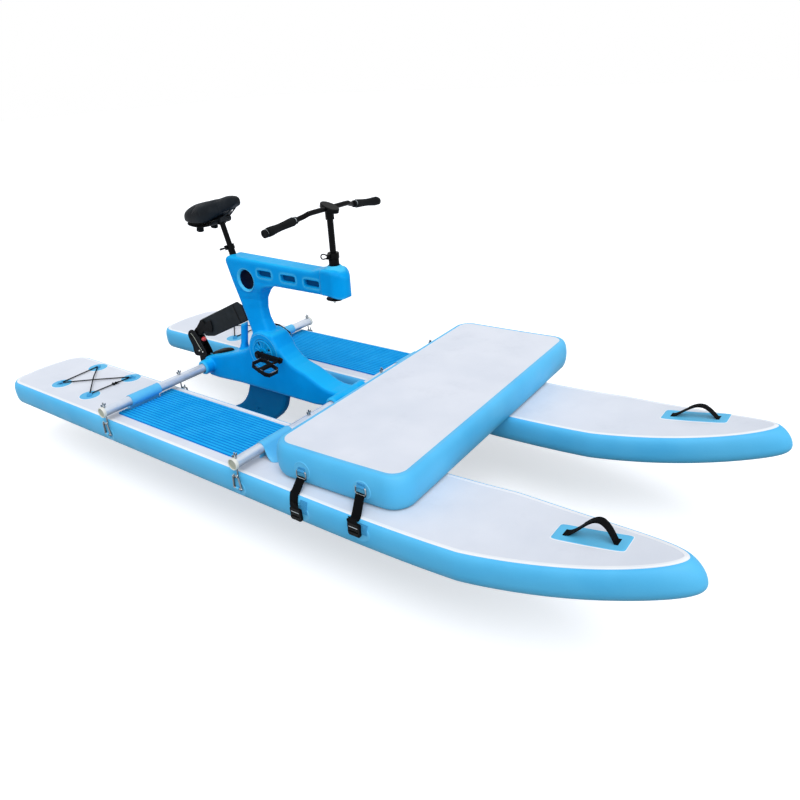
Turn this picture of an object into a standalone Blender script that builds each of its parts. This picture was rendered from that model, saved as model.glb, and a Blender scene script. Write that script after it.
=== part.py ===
"""Pedal water bike: two inflated hulls, an inflated bow platform, and a frame with seat, bar and drive.

Metres. +X is forward, +Y is port, +Z is up. Z = 0 is the underside of the hulls, X = 0 is midway between
the two cross tubes and Y = 0 is the centre of the frame.
"""

from math import asin, atan2, cos, hypot, pi, radians, sin, sqrt, tan

import bmesh
import bpy
from mathutils import Matrix, Vector

# Clearances
TOUCH_GAP = 0.0004
SLIDE_GAP = 0.0003
CLOTH_GAP = 0.0008

# Hulls
HULL_SPACING = 0.998
HULL_STAGGER = 0.030
HULL_THICKNESS = 0.120
HULL_DECK_HALF = 0.2075
HULL_RAIL_BULGE = 0.027
HULL_RAIL_FULLNESS = 2.6
RAIL_LEVELS = (0.0, 0.07, 0.24, 0.5, 0.76, 0.93, 1.0)
HULL_STERN_X = -1.405
HULL_TAPER_START_X = 1.561
HULL_TIP_X = 2.239
HULL_TAPER_POWER_IN = 1.14
HULL_TAPER_POWER_OUT = 0.567
HULL_ROCKER_START_X = 0.631
HULL_ROCKER_RISE = 0.144
HULL_ROCKER_POWER = 3.3
HULL_NOSE_X = 2.00
HULL_NOSE_REACH = 0.033
HULL_STERN_CORNER = 0.090
HULL_STERN_CROWN = 0.012

# Deck pads
PAD_REAR_X = -0.440
PAD_FRONT_X = 0.366
PAD_THICKNESS = 0.0075
PAD_CORNER = 0.030
PAD_STARBOARD_Y = (-0.650, -0.320)
PAD_PORT_Y = (0.355, 0.695)

# Bow platform
PLATFORM_CENTRE = (0.893, 0.170)
PLATFORM_LENGTH_X = 0.612
PLATFORM_WIDTH_Y = 1.577
PLATFORM_THICKNESS = 0.150
PLATFORM_TURN_DEG = 2.1
PLATFORM_CORNER = 0.070
PLATFORM_RAIL_BULGE = 0.030
PLATFORM_RAIL_FULLNESS = 2.2
STRAP_WIDTH = 0.038
STRAP_THICKNESS = 0.0025
STRAP_PAIR_X = (0.786, 1.086)
BUCKLE_WIDTH = 0.052
BUCKLE_HEIGHT = 0.046
BUCKLE_DEPTH = 0.011
BUCKLE_Z = (0.045, 0.090)

# Cross tubes
TUBE_X = 0.469
TUBE_Z = 0.1726
TUBE_DIAMETER = 0.048
TUBE_WALL = 0.002
CAP_DIAMETER = 0.054
CAP_LENGTH = 0.009
CAP_PLUG_LENGTH = 0.007
SLEEVE_WIDTH = 0.175
SLEEVE_CENTRE_Y = 0.500
SLEEVE_THICKNESS = 0.003
SLEEVE_FLAP = 0.058
SLEEVE_FLAP_TO_PAD = 0.024
SLEEVE_NECK = 0.016
HOOK_PAST_DECK = 0.0215
HOOK_Y = HULL_SPACING / 2 + HULL_DECK_HALF + HOOK_PAST_DECK
TUBE_PAST_HOOK = 0.012
TUBE_HALF_LENGTH = HOOK_Y + TUBE_PAST_HOOK
HOOK_WIRE_RADIUS = 0.003
HOOK_TURN_RADIUS = 0.010
HOOK_TURN_Z = 0.118
RING_WIRE_RADIUS = 0.003
RING_WIDTH = 0.042
RING_HEIGHT = 0.032

# Frame shell
FRAME_BODY_HALF = 0.062
FRAME_BEAM_HALF = 0.055
FRAME_EDGE = 0.016
FRAME_BOTTOM_Z = 0.108
BEAM_BOTTOM_Z = 0.690
HEAD_FRONT_X = 0.536
HEAD_HALF = 0.051
HEAD_PLAN_RADIUS = 0.042
COLUMN_REAR_X = -0.112
COLUMN_REAR_Z = 0.443
COLUMN_LEAN_DEG = 18.4
COLUMN_STATIONS = (
    (0.340, 0.020, 0.040),
    (0.443, 0.002, 0.034),
    (0.500, -0.023, 0.030),
    (0.550, -0.030, 0.030),
    (0.600, -0.024, 0.034),
    (0.640, -0.004, 0.044),
    (0.665, 0.022, 0.052),
    (0.682, 0.060, 0.0545),
    (0.695, 0.125, 0.055),
)
HUB_X = -0.020
HUB_Z = 0.331
HUB_RADIUS = 0.109
HUB_HALF = 0.066
HUB_BORE_RADIUS = 0.0705
SOCKET_RADIUS = 0.040
SOCKET_HALF = 0.120
SLOT_LENGTH = 0.094
SLOT_HEIGHT = 0.034
SLOT_CORNER = 0.006
SLOT_CENTRES = ((0.055, 0.748), (0.213, 0.745), (0.3625, 0.7415))
SLOT_RIM = 0.003
ROUND_HOLE = (-0.083, 0.702)
ROUND_HOLE_RADIUS = 0.050
ROUND_HOLE_RIM = 0.009
HATCH_REAR_X = -0.522
HATCH_FRONT_X = -0.325
HATCH_HALF = 0.030
HATCH_THICKNESS = 0.004
REST_POST_RADIUS = 0.019
REST_SEAT = (-0.209, 0.4405)
REST_POST_TOP_Z = 0.455

# Drive
COVER_THICKNESS = 0.014
COVER_PROUD = 0.004
AXLE_RADIUS = 0.010
AXLE_HALF = 0.115
CRANK_LENGTH = 0.150
CRANK_ARM_Y = 0.100
CRANK_ARM_THICKNESS = 0.014
CRANK_BOSS_RADIUS = 0.019
CRANK_TIP_RADIUS = 0.013
PEDAL_LENGTH = 0.100
PEDAL_WIDTH = 0.086
PEDAL_THICKNESS = 0.024
PEDAL_Y = 0.200
PEDAL_SPINDLE_RADIUS = 0.006
PEDAL_TIP_DEG = {-1: 40.0, 1: 35.0}
TOP_GEAR_RADIUS = 0.055
TOP_PINION_RADIUS = 0.0155
GEAR_FACE = 0.011
GEAR_BACK = 0.006
LOWER_RATIO = 2.0
LOWER_GEAR_RADIUS = 0.0175
SHAFT_RADIUS = 0.006
SHAFT_BORE_GAP = 0.0015
POD_X = (-0.160, -0.490)
POD_Z = -0.150
POD_RADIUS = 0.036
POD_APEX_X = -0.205
POD_POCKET_RADIUS = 0.030
LEG_HALF = 0.022
LEG_EDGE = 0.015
PROP_SHAFT_RADIUS = 0.008
PROP_SHAFT_BORE = 0.0095
PROP_RADIUS = 0.130
PROP_HUB_RADIUS = 0.024
PROP_HUB_X = (-0.4935, -0.552)
PROP_PITCH = 0.30
PROP_REST_DEG = 135.0

# Seat
SEAT_AXIS_X = -0.211
SEAT_AXIS_Z = 0.800
SEAT_LEAN_DEG = 16.0
SEAT_POST_RADIUS = 0.0136
SEAT_POST_INSERTION = 0.130
SEAT_BORE_DEPTH = 0.186
SEAT_SLEEVE_RADIUS = 0.0172
SEAT_SLEEVE_DEPTH = 0.050
SEAT_CLAMP_TOP = 0.056
SEAT_CLAMP_HEIGHT = 0.024
SEAT_CLAMP_RADIUS = 0.0215
SEAT_BARREL = 0.170
SEAT_BARREL_RADIUS = 0.012
SADDLE_REAR_X = -0.452
SADDLE_HALF_WIDTH = 0.100
SADDLE_TOP_SLOPE_DEG = 12.8
SADDLE_TOP_POINT = (-0.151, 1.098)
SADDLE_RAIL_RADIUS = 0.0035

# Steering
STEER_X = 0.463
STEERER_RADIUS = 0.0170
STEERER_BOTTOM_Z = 0.660
STEERER_TOP_Z = 0.885
STEERER_BORE_BOTTOM_Z = 0.680
HEAD_COLLAR_RADIUS = 0.033
HEAD_COLLAR_TOP_Z = 0.826
BAR_POST_RADIUS = 0.0145
BAR_POST_BOTTOM_Z = 0.775
BAR_POST_TOP_Z = 1.058
BAR_RADIUS = 0.011
BAR_Z = 1.078
BAR_STRAIGHT_Y = 0.130
GRIP_START = (0.444, 0.189, 1.061)
GRIP_END = (0.441, 0.377, 1.041)
GRIP_RADIUS = 0.0165
STEM_PLATE_REAR = (0.420, 1.096)
STEM_PLATE_FRONT = (0.513, 1.064)
STEM_PLATE_HALF = 0.033
STEM_PLATE_THICKNESS = 0.020
LEVER_LENGTH = 0.046
LEVER_HEIGHT = 0.014

# Rudder
SWIVEL_X = -0.600
SWIVEL_PIN_RADIUS = 0.008
BRACKET_Z = (0.146, 0.190)
BRACKET_HALF = 0.024
YOKE_BASE_THICKNESS = 0.012
YOKE_INSIDE_HALF = 0.013
YOKE_CHEEK = 0.006
FOLD_PIVOT = (-0.662, 0.292)
FOLD_PIN_RADIUS = 0.005
BLADE_UP_DEG = 25.0
BLADE_CHORD = 0.1125
BLADE_START = 0.116
BLADE_END = 0.516
BLADE_ABOVE_PIVOT = 0.058
BLADE_THICKNESS = 0.014
BLADE_NECK_HALF = 0.016
BLADE_NECK_THICKNESS = 0.025
LOCK_KNOB = (-0.573, 0.284)
LOCK_KNOB_RADIUS = 0.0135
LOCK_PIN_RADIUS = 0.004

DECK_Z = HULL_THICKNESS
SIDES = (("starboard", -1), ("port", 1))
ENDS = (("front", 1), ("rear", -1))
HELPERS = []


# Scene and materials


def clear_scene():
    for obj in list(bpy.data.objects):
        bpy.data.objects.remove(obj, do_unlink=True)


def linear(hex_colour):
    """Linear RGBA of an sRGB colour written #RRGGBB."""
    values = [int(hex_colour[i : i + 2], 16) / 255 for i in (1, 3, 5)]
    return [v / 12.92 if v <= 0.04045 else ((v + 0.055) / 1.055) ** 2.4 for v in values] + [1.0]


def finish(name, colour, roughness, metallic=0.0):
    material = bpy.data.materials.new(name)
    material.use_nodes = True
    shader = material.node_tree.nodes["Principled BSDF"]
    shader.inputs["Base Color"].default_value = linear(colour)
    shader.inputs["Roughness"].default_value = roughness
    shader.inputs["Metallic"].default_value = metallic
    material.diffuse_color = linear(colour)
    return material


FINISHES = {
    "white_deck": ("#E9ECF6", 0.55, 0.0),
    "rail_blue": ("#55BDF2", 0.50, 0.0),
    "pad_foam": ("#1FA2F5", 0.85, 0.0),
    "frame_blue": ("#0A96E6", 0.38, 0.0),
    "leg_blue": ("#0073BE", 0.42, 0.0),
    "aluminium": ("#C9D3E6", 0.32, 1.0),
    "steel": ("#B9BEC6", 0.28, 1.0),
    "dark_steel": ("#6C7178", 0.35, 1.0),
    "black_metal": ("#15181D", 0.40, 0.0),
    "black_plastic": ("#121519", 0.50, 0.0),
    "black_webbing": ("#14161A", 0.85, 0.0),
    "rubber": ("#17191C", 0.70, 0.0),
    "saddle_cover": ("#16181C", 0.55, 0.0),
    "cap_cream": ("#E4E4DC", 0.55, 0.0),
    "knob_red": ("#D8343A", 0.35, 0.0),
    "blade_black": ("#101418", 0.55, 0.0),
    "cord_black": ("#1C1A1A", 0.75, 0.0),
}


# Mesh tools


def place(axis, u, v, depth):
    """The point with plane coordinates (u, v) and this depth along the axis."""
    if axis == "X":
        return (depth, u, v)
    if axis == "Y":
        return (u, depth, v)
    return (u, v, depth)


def unit(x, y):
    size = hypot(x, y)
    return (x / size, y / size)


def anticlockwise(points):
    area = sum(a[0] * b[1] - b[0] * a[1] for a, b in zip(points, points[1:] + points[:1]))
    return list(points) if area > 0 else list(points)[::-1]


def inset(points, distance):
    """The closed outline moved inwards by a distance, corner by corner."""
    moved = []
    for i, here in enumerate(points):
        before, after = points[i - 1], points[(i + 1) % len(points)]
        ax, ay = unit(here[0] - before[0], here[1] - before[1])
        bx, by = unit(after[0] - here[0], after[1] - here[1])
        scale = distance / (1 + ax * bx + ay * by)
        moved.append((here[0] - (ay + by) * scale, here[1] + (ax + bx) * scale))
    return moved


def rounded(corners, steps=3, even=False):
    """An outline from corners (x, y, radius), each turned into an arc of that radius.

    A right angle takes this many steps, and with even every corner does.
    """
    points = []
    count = len(corners)
    for i, (x, y, radius) in enumerate(corners):
        before, after = corners[i - 1], corners[(i + 1) % count]
        ax, ay = unit(before[0] - x, before[1] - y)
        bx, by = unit(after[0] - x, after[1] - y)
        turn = pi - atan2(abs(ax * by - ay * bx), ax * bx + ay * by)
        if radius <= 0 or turn < 0.02:
            points.append((x, y))
            continue
        reach = radius * tan(turn / 2)
        pieces = steps if even else max(1, round(steps * turn / (pi / 2) + 0.4))
        mx, my = unit(ax + bx, ay + by)
        away = radius / cos(turn / 2)
        cx, cy = x + mx * away, y + my * away
        start = atan2(y + ay * reach - cy, x + ax * reach - cx)
        end = atan2(y + by * reach - cy, x + bx * reach - cx)
        sweep_angle = (end - start + pi) % (2 * pi) - pi
        for k in range(pieces + 1):
            angle = start + sweep_angle * k / pieces
            points.append((cx + radius * cos(angle), cy + radius * sin(angle)))
    return points


def box_outline(x0, x1, y0, y1, radius=0.0, steps=3):
    return rounded([(x0, y0, radius), (x1, y0, radius), (x1, y1, radius), (x0, y1, radius)], steps)


def circle(cx, cy, radius, count=24):
    return [(cx + radius * cos(2 * pi * k / count),
        cy + radius * sin(2 * pi * k / count)) for k in range(count)]


def thick_line(points, thickness):
    """The outline of a bent strip of this thickness whose middle runs through the points."""
    left, right = [], []
    for i, (x, y) in enumerate(points):
        before = points[max(i - 1, 0)]
        after = points[min(i + 1, len(points) - 1)]
        ax, ay = unit(x - before[0], y - before[1]) if i else unit(after[0] - x, after[1] - y)
        bx, by = unit(after[0] - x, after[1] - y) if i < len(points) - 1 else (ax, ay)
        scale = thickness / 2 / (1 + ax * bx + ay * by)
        left.append((x - (ay + by) * scale, y + (ax + bx) * scale))
        right.append((x + (ay + by) * scale, y - (ax + bx) * scale))
    return left + right[::-1]


def rings_solid(rings):
    """Vertices and faces of a solid through equal closed rings, with a flat face on each end."""
    count = len(rings[0])
    verts = [point for ring in rings for point in ring]
    faces = [list(range(count))[::-1]]
    for level in range(len(rings) - 1):
        low, high = level * count, (level + 1) * count
        for i in range(count):
            j = (i + 1) % count
            faces.append([low + i, low + j, high + j, high + i])
    faces.append(list(range((len(rings) - 1) * count, len(rings) * count)))
    return verts, faces


def prism(outline, axis, low, high, edge=0.0, steps=3):
    """A solid with this outline between two depths, its rims rounded to the edge radius."""
    outline = anticlockwise(outline)
    levels = [(low, 0.0), (high, 0.0)]
    if edge > 0:
        turns = [k * pi / 2 / steps for k in range(steps + 1)]
        levels = [(low + edge * (1 - cos(a)), edge * (1 - sin(a))) for a in turns]
        levels += [(high - edge * (1 - cos(a)), edge * (1 - sin(a))) for a in reversed(turns)]
    rings = []
    for depth, shrink in levels:
        ring = inset(outline, shrink) if shrink else outline
        rings.append([place(axis, u, v, depth) for u, v in ring])
    return rings_solid(rings)


def through_cut(outline, axis, half, rim):
    """A cutter through a wall of this half thickness, flared at both faces so that rims come out rounded."""
    outline = anticlockwise(outline)
    reach = half + 0.02
    levels = [(-reach, rim), (-half - 0.0005, rim), (-half + 0.3 * rim, 0.3 * rim), (-half + rim, 0.0)]
    levels += [(-depth, grow) for depth, grow in reversed(levels)]
    return rings_solid([[place(axis, u, v, d) for u, v in inset(outline, -grow)] for d, grow in levels])


def turned(profile, centre, direction, count=24, ring=False):
    """A solid of revolution. The profile lists (radius, distance along the direction from the centre)."""
    spin = Vector((0, 0, 1)).rotation_difference(Vector(direction).normalized()).to_matrix()
    flat_start = not ring and profile[0][0] <= 0 and profile[0][1] == profile[1][1]
    flat_end = not ring and profile[-1][0] <= 0 and profile[-1][1] == profile[-2][1]
    profile = profile[1 if flat_start else 0 : len(profile) - (1 if flat_end else 0)]
    verts, starts = [], []
    for radius, distance in profile:
        starts.append((len(verts), radius > 0))
        if radius <= 0:
            verts.append(spin @ Vector((0, 0, distance)) + Vector(centre))
            continue
        for k in range(count):
            angle = 2 * pi * k / count
            verts.append(spin @ Vector((radius * cos(angle), radius * sin(angle), distance)) + Vector(centre))
    faces = []
    pairs = list(zip(starts, starts[1:]))
    if ring:
        pairs.append((starts[-1], starts[0]))
    for (a, a_ring), (b, b_ring) in pairs:
        for k in range(count):
            j = (k + 1) % count
            if a_ring and b_ring:
                faces.append([a + k, a + j, b + j, b + k])
            elif a_ring:
                faces.append([a + k, a + j, b])
            elif b_ring:
                faces.append([a, b + j, b + k])
    if flat_start:
        faces.append([starts[0][0] + k for k in range(count)])
    if flat_end:
        faces.append([starts[-1][0] + k for k in range(count)])
    return verts, faces


def rod(start, end, radius, count=16, chamfer=0.0):
    """A round bar between two points."""
    start, end = Vector(start), Vector(end)
    length = (end - start).length
    profile = [(0, 0), (radius, 0), (radius, length), (0, length)]
    if chamfer:
        profile = [(0, 0), (radius - chamfer, 0), (radius, chamfer)]
        profile += [(radius, length - chamfer), (radius - chamfer, length), (0, length)]
    return turned(profile, start, end - start, count)


def swept(path, radius, sides=8, closed=False):
    """A round bar along a path of points."""
    path = [Vector(point) for point in path]
    count = len(path)
    tangents = []
    for i in range(count):
        before = path[i - 1] if closed or i else path[0]
        after = path[(i + 1) % count] if closed or i < count - 1 else path[-1]
        tangents.append((after - before).normalized())
    normal = tangents[0].orthogonal().normalized()
    rings = []
    for i, tangent in enumerate(tangents):
        if i:
            normal = tangents[i - 1].rotation_difference(tangent) @ normal
        normal = (normal - tangent * normal.dot(tangent)).normalized()
        across = tangent.cross(normal)
        ring = []
        for k in range(sides):
            angle = 2 * pi * k / sides
            ring.append(path[i] + radius * (cos(angle) * normal + sin(angle) * across))
        rings.append(ring)
    verts, faces = rings_solid(rings)
    if not closed:
        return verts, faces
    faces = faces[1:-1]
    last, first = rings[-1], rings[0]
    shift = min(range(sides), key=lambda s: (last[0] - first[s]).length)
    base = (count - 1) * sides
    for k in range(sides):
        j = (k + 1) % sides
        faces.append([base + k, base + j, (j + shift) % sides, (k + shift) % sides])
    return verts, faces


def make(name, solid, finish_name=None, origin=(0, 0, 0), smooth_deg=35.0):
    """An object from world-space vertices and faces, with its origin at the given point."""
    verts, faces = solid
    mesh = bpy.data.meshes.new(name)
    mesh.from_pydata([Vector(v) - Vector(origin) for v in verts], [], faces)
    shape = bmesh.new()
    shape.from_mesh(mesh)
    bmesh.ops.remove_doubles(shape, verts=shape.verts, dist=1e-6)
    bmesh.ops.recalc_face_normals(shape, faces=shape.faces)
    for face in shape.faces:
        face.smooth = True
    for edge in shape.edges:
        if len(edge.link_faces) == 2 and edge.calc_face_angle(0.0) > radians(smooth_deg):
            edge.smooth = False
    shape.to_mesh(mesh)
    shape.free()
    obj = bpy.data.objects.new(name, mesh)
    obj.location = origin
    bpy.context.collection.objects.link(obj)
    if finish_name:
        mesh.materials.append(finish(name, *FINISHES[finish_name]))
    return obj


def boolean(target, solid, operation="DIFFERENCE"):
    """Cuts a helper solid from the target, or joins it to the target, with an exact Boolean modifier."""
    helper = make(f"helper_{len(HELPERS) + 1:03d}_{target.name}"[:58], solid)
    helper.hide_render = True
    helper.display_type = "WIRE"
    HELPERS.append(helper)
    modifier = target.modifiers.new(operation.title(), "BOOLEAN")
    modifier.operation = operation
    modifier.solver = "EXACT"
    modifier.object = helper
    return target


def join(target, solid):
    return boolean(target, solid, "UNION")


def rocker(x):
    """How far the hull's line has risen at this hull station."""
    along = max(0.0, x - HULL_ROCKER_START_X) / (HULL_TIP_X - HULL_ROCKER_START_X)
    return HULL_ROCKER_RISE * along**HULL_ROCKER_POWER


def hull_half(x):
    """Half width of the deck at this hull station ahead of the stern corners."""
    along = min(1.0, max(0.0, (x - HULL_TAPER_START_X) / (HULL_TIP_X - HULL_TAPER_START_X)))
    return HULL_DECK_HALF * (1 - along**HULL_TAPER_POWER_IN) ** HULL_TAPER_POWER_OUT


def hull_stations():
    """Deck edge points (x, half width) from the stern to the tip."""
    stations = [(HULL_STERN_X - HULL_STERN_CROWN, 0.030)]
    for k in range(5):
        angle = pi / 2 * k / 4
        x = HULL_STERN_X + HULL_STERN_CORNER * (1 - cos(angle))
        stations.append((x, HULL_DECK_HALF - HULL_STERN_CORNER * (1 - sin(angle))))
    stations += [(x, HULL_DECK_HALF) for x in (-0.4, 0.55, 0.9, 1.15, 1.36)]
    taper = HULL_TIP_X - HULL_TAPER_START_X
    for k in range(0, 10):
        x = HULL_TAPER_START_X + taper * sin(pi / 2 * k / 10)
        stations.append((x, hull_half(x)))
    stations.append((HULL_TIP_X - 0.0012, 0.014))
    return stations


def bulge_levels(thickness, bulge, fullness):
    """(height, outward offset) pairs up a rounded rail. A higher fullness makes its middle flatter."""
    levels = []
    for share in RAIL_LEVELS:
        out = bulge * (1 - abs(2 * share - 1) ** fullness) ** (1 / fullness)
        levels.append((thickness * share, out))
    return levels


def crossed_caps(rings):
    """A solid through equal rings whose end faces are strips between the two halves of the ring."""
    verts, faces = rings_solid(rings)
    count = len(rings[0])
    crossing = []
    for low in (0, (len(rings) - 1) * count):
        for k in range(count // 2 - 1):
            crossing.append([low + k, low + k + 1, low + count - 2 - k, low + count - 1 - k])
    return verts, faces[1:-1] + crossing


def hull(name, side):
    stations = hull_stations()
    outline = stations + [(x, -half) for x, half in reversed(stations)]
    outline = anticlockwise(outline)
    middle_y = side * HULL_SPACING / 2
    shift = side * HULL_STAGGER
    rings = []
    for height, out in bulge_levels(HULL_THICKNESS, HULL_RAIL_BULGE, HULL_RAIL_FULLNESS):
        share = height / HULL_THICKNESS
        reach = HULL_NOSE_REACH * 2.6 * (1 - share) * max(share, 0.03) ** 0.5
        grown = inset(outline, -out) if out > 1e-9 else outline
        ring = []
        for (x, _), (far_x, far_y) in zip(outline, grown):
            nose = max(0.0, (x - HULL_NOSE_X) / (HULL_TIP_X - HULL_NOSE_X)) ** 2
            ring.append((far_x + reach * nose + shift, far_y + middle_y, height + rocker(x)))
        rings.append(ring)
    return make(name, crossed_caps(rings), "white_deck", smooth_deg=28)


def deck_pad(name, y_range):
    outline = box_outline(PAD_REAR_X, PAD_FRONT_X, *y_range, PAD_CORNER, 4)
    low = DECK_Z + TOUCH_GAP
    return make(name, prism(outline, "Z", low, low + PAD_THICKNESS, 0.002, 1), "pad_foam")


def bow_platform(name):
    """Inflated slab across the bows. Its underside follows the line of the decks that it is strapped to."""
    half_x, half_y = PLATFORM_LENGTH_X / 2, PLATFORM_WIDTH_Y / 2
    stations = [(-half_x, half_y - PLATFORM_CORNER)]
    for k in range(1, 5):
        angle = pi / 2 * k / 4
        x = -half_x + PLATFORM_CORNER * (1 - cos(angle))
        stations.append((x, half_y - PLATFORM_CORNER * (1 - sin(angle))))
    stations += [(-0.10, half_y), (0.08, half_y)]
    stations += [(-x, y) for x, y in reversed(stations[:5])]
    outline = [(x, -y) for x, y in stations] + stations[::-1]
    turn = Matrix.Rotation(radians(PLATFORM_TURN_DEG), 2)
    low = DECK_Z + CLOTH_GAP
    rings = []
    for height, out in bulge_levels(PLATFORM_THICKNESS, PLATFORM_RAIL_BULGE, PLATFORM_RAIL_FULLNESS):
        ring = []
        for x, y in inset(outline, -out) if out > 1e-9 else outline:
            px, py = turn @ Vector((x, y)) + Vector(PLATFORM_CENTRE)
            ring.append((px, py, low + height + rocker(px + HULL_STAGGER)))
        rings.append(ring)
    return make(name, crossed_caps(rings), "rail_blue", smooth_deg=28)


def platform_edge_y(x, side):
    """Where the platform's widest point is on its end, at a world X."""
    turn = radians(PLATFORM_TURN_DEG)
    along = (x - PLATFORM_CENTRE[0]) * sin(turn)
    reach = (PLATFORM_WIDTH_Y / 2 + PLATFORM_RAIL_BULGE) / cos(turn)
    return PLATFORM_CENTRE[1] + along + side * reach


def platform_strap(name, x, side, buckle_z):
    """A webbing strap from a ring on the platform's end down to a buckle on the hull's rail."""
    end_y = platform_edge_y(x, side)
    hull_y = side * (HULL_SPACING / 2 + HULL_DECK_HALF + HULL_RAIL_BULGE)
    ring_y = end_y + side * 0.006
    buckle_y = hull_y + side * 0.006
    path = [(ring_y, 0.205), (ring_y + side * 0.002, 0.178)]
    if abs(end_y) > abs(hull_y):
        path += [(end_y - side * 0.008, 0.128), (end_y - side * 0.040, 0.110)]
    else:
        path.append((hull_y - side * 0.003, 0.124))
    path += [(buckle_y + side * 0.003, buckle_z + 0.026), (buckle_y, buckle_z),
        (buckle_y - side * 0.002, buckle_z - 0.032)]
    outline = thick_line(path, STRAP_THICKNESS)
    half = STRAP_WIDTH / 2
    obj = make(name, prism(outline, "X", x - half, x + half), "black_webbing")
    low_y = hull_y + side * TOUCH_GAP
    ys = sorted((low_y, low_y + side * BUCKLE_DEPTH))
    case = box_outline(x - BUCKLE_WIDTH / 2, x + BUCKLE_WIDTH / 2, buckle_z - BUCKLE_HEIGHT / 2,
        buckle_z + BUCKLE_HEIGHT / 2, 0.008, 2)
    return join(obj, prism(case, "Y", *ys, 0.003, 1))


def carry_handle(name, side):
    """Webbing arch between two feet on the bow deck."""
    feet = (1.774, 2.030) if side < 0 else (1.814, 2.085)
    middle_y = -0.4665 if side < 0 else 0.565
    shift = side * HULL_STAGGER
    start, end = feet
    span = end - start

    def deck(x):
        return DECK_Z + rocker(x - shift)

    rise, skew = (0.072, 1.45) if side < 0 else (0.052, 1.25)
    path = [(start, deck(start) + 0.003)]
    for k in range(3):
        x = start + span * (0.06 + 0.06 * k)
        path.append((x, deck(x) + 0.003))
    for k in range(1, 8):
        x = start + span * (0.18 + 0.64 * k / 8)
        path.append((x, deck(x) + 0.003 + rise * sin(pi * (k / 8) ** skew)))
    for k in range(3):
        x = start + span * (0.82 + 0.06 * k)
        path.append((x, deck(x) + 0.003))
    path.append((end, deck(end) + 0.003))
    outline = thick_line(path, 0.004)
    return make(name, prism(outline, "Y", middle_y - 0.015, middle_y + 0.015), "black_webbing")


def deck_cord(name, side):
    """One elastic cord loop over four anchors: across the rear, a diagonal, across the front, and back."""
    radius = 0.003
    low = DECK_Z + 0.0045 + radius
    if side < 0:
        anchors = [(-1.117, -0.587), (-1.144, -0.346), (-0.831, -0.595), (-0.830, -0.341)]
    else:
        anchors = [(-1.062, 0.630), (-1.062, 0.387), (-0.782, 0.630), (-0.782, 0.387)]
    middle = (sum(a[0] for a in anchors) / 4, sum(a[1] for a in anchors) / 4)
    path = []
    for i, (x, y) in enumerate(anchors):
        before, after = anchors[i - 1], anchors[(i + 1) % 4]
        ax, ay = unit(before[0] - x, before[1] - y)
        bx, by = unit(after[0] - x, after[1] - y)
        path.append((x + ax * 0.016, y + ay * 0.016, low))
        path.append((x + (ax + bx) * 0.004, y + (ay + by) * 0.004, low))
        path.append((x + bx * 0.016, y + by * 0.016, low))
        lift = {1: 0.0105, 3: 0.0015}.get(i)
        if lift is None:
            path.append(((x + after[0]) / 2, (y + after[1]) / 2, low))
            continue
        for share in (0.30, 0.45, 0.55, 0.70):
            height = low + lift * (1.0 if 0.4 < share < 0.6 else 0.65)
            path.append((x + (after[0] - x) * share, y + (after[1] - y) * share, height))
    obj = make(name, swept(path, radius, 6, closed=True), "cord_black")
    for x, y in anchors:
        ux, uy = unit(middle[0] - x, middle[1] - y)
        half = 0.014
        corners = []
        for along, over in ((-0.026, -half), (0.010, -half), (0.010, half), (-0.026, half)):
            corners.append((x + along * ux - over * uy, y + along * uy + over * ux))
        join(obj, prism(corners, "Z", DECK_Z + TOUCH_GAP, low + radius + 0.0015))
    return obj


# Cross tubes and what holds them


def cross_tube(name, end):
    inner = TUBE_DIAMETER / 2 - TUBE_WALL
    outer = TUBE_DIAMETER / 2
    reach = TUBE_HALF_LENGTH
    profile = [(inner, -reach), (outer, -reach), (outer, reach), (inner, reach)]
    centre = (end * TUBE_X, 0, TUBE_Z)
    obj = make(name, turned(profile, centre, (0, 1, 0), 24, ring=True), "aluminium")
    for side in (-1, 1):
        y = side * HOOK_Y
        bore = HOOK_WIRE_RADIUS + SLIDE_GAP
        boolean(obj, rod((end * TUBE_X, y, TUBE_Z - 0.04), (end * TUBE_X, y, TUBE_Z + 0.04), bore, 12))
    return obj


def tube_cap(name, end, side):
    plug = TUBE_DIAMETER / 2 - TUBE_WALL - SLIDE_GAP
    outer = CAP_DIAMETER / 2
    base = TUBE_HALF_LENGTH
    profile = [(0, -CAP_PLUG_LENGTH), (plug, -CAP_PLUG_LENGTH), (plug, TOUCH_GAP), (outer, TOUCH_GAP)]
    profile += [(outer, CAP_LENGTH * 0.7), (outer * 0.9, CAP_LENGTH), (0, CAP_LENGTH)]
    centre = (end * TUBE_X, side * base, TUBE_Z)
    return make(name, turned(profile, centre, (0, side, 0), 20), "cap_cream")


def tube_sleeve(name, end, side):
    """Fabric sleeve round the tube, with a neck and two flaps on the deck."""
    inner = TUBE_DIAMETER / 2 + SLIDE_GAP
    outer = inner + SLEEVE_THICKNESS
    low = DECK_Z + TOUCH_GAP
    rear_flap = SLEEVE_FLAP
    front_flap = SLEEVE_FLAP if end > 0 else SLEEVE_FLAP_TO_PAD
    neck = SLEEVE_NECK / 2
    x = end * TUBE_X
    start = asin(neck / outer)
    arc = [-pi / 2 + start + (2 * pi - 2 * start) * k / 14 for k in range(15)]
    outline = [(x - rear_flap, low), (x + front_flap, low), (x + front_flap, low + 0.0025),
        (x + neck + 0.006, low + 0.004)]
    outline += [(x + outer * cos(a), TUBE_Z + outer * sin(a)) for a in arc]
    outline += [(x - neck - 0.006, low + 0.004), (x - rear_flap, low + 0.0025)]
    middle = side * SLEEVE_CENTRE_Y
    half = SLEEVE_WIDTH / 2
    obj = make(name, prism(outline, "Y", middle - half, middle + half), "rail_blue")
    return boolean(obj, rod((x, middle - half - 0.01, TUBE_Z), (x, middle + half + 0.01, TUBE_Z), inner, 24))


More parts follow.
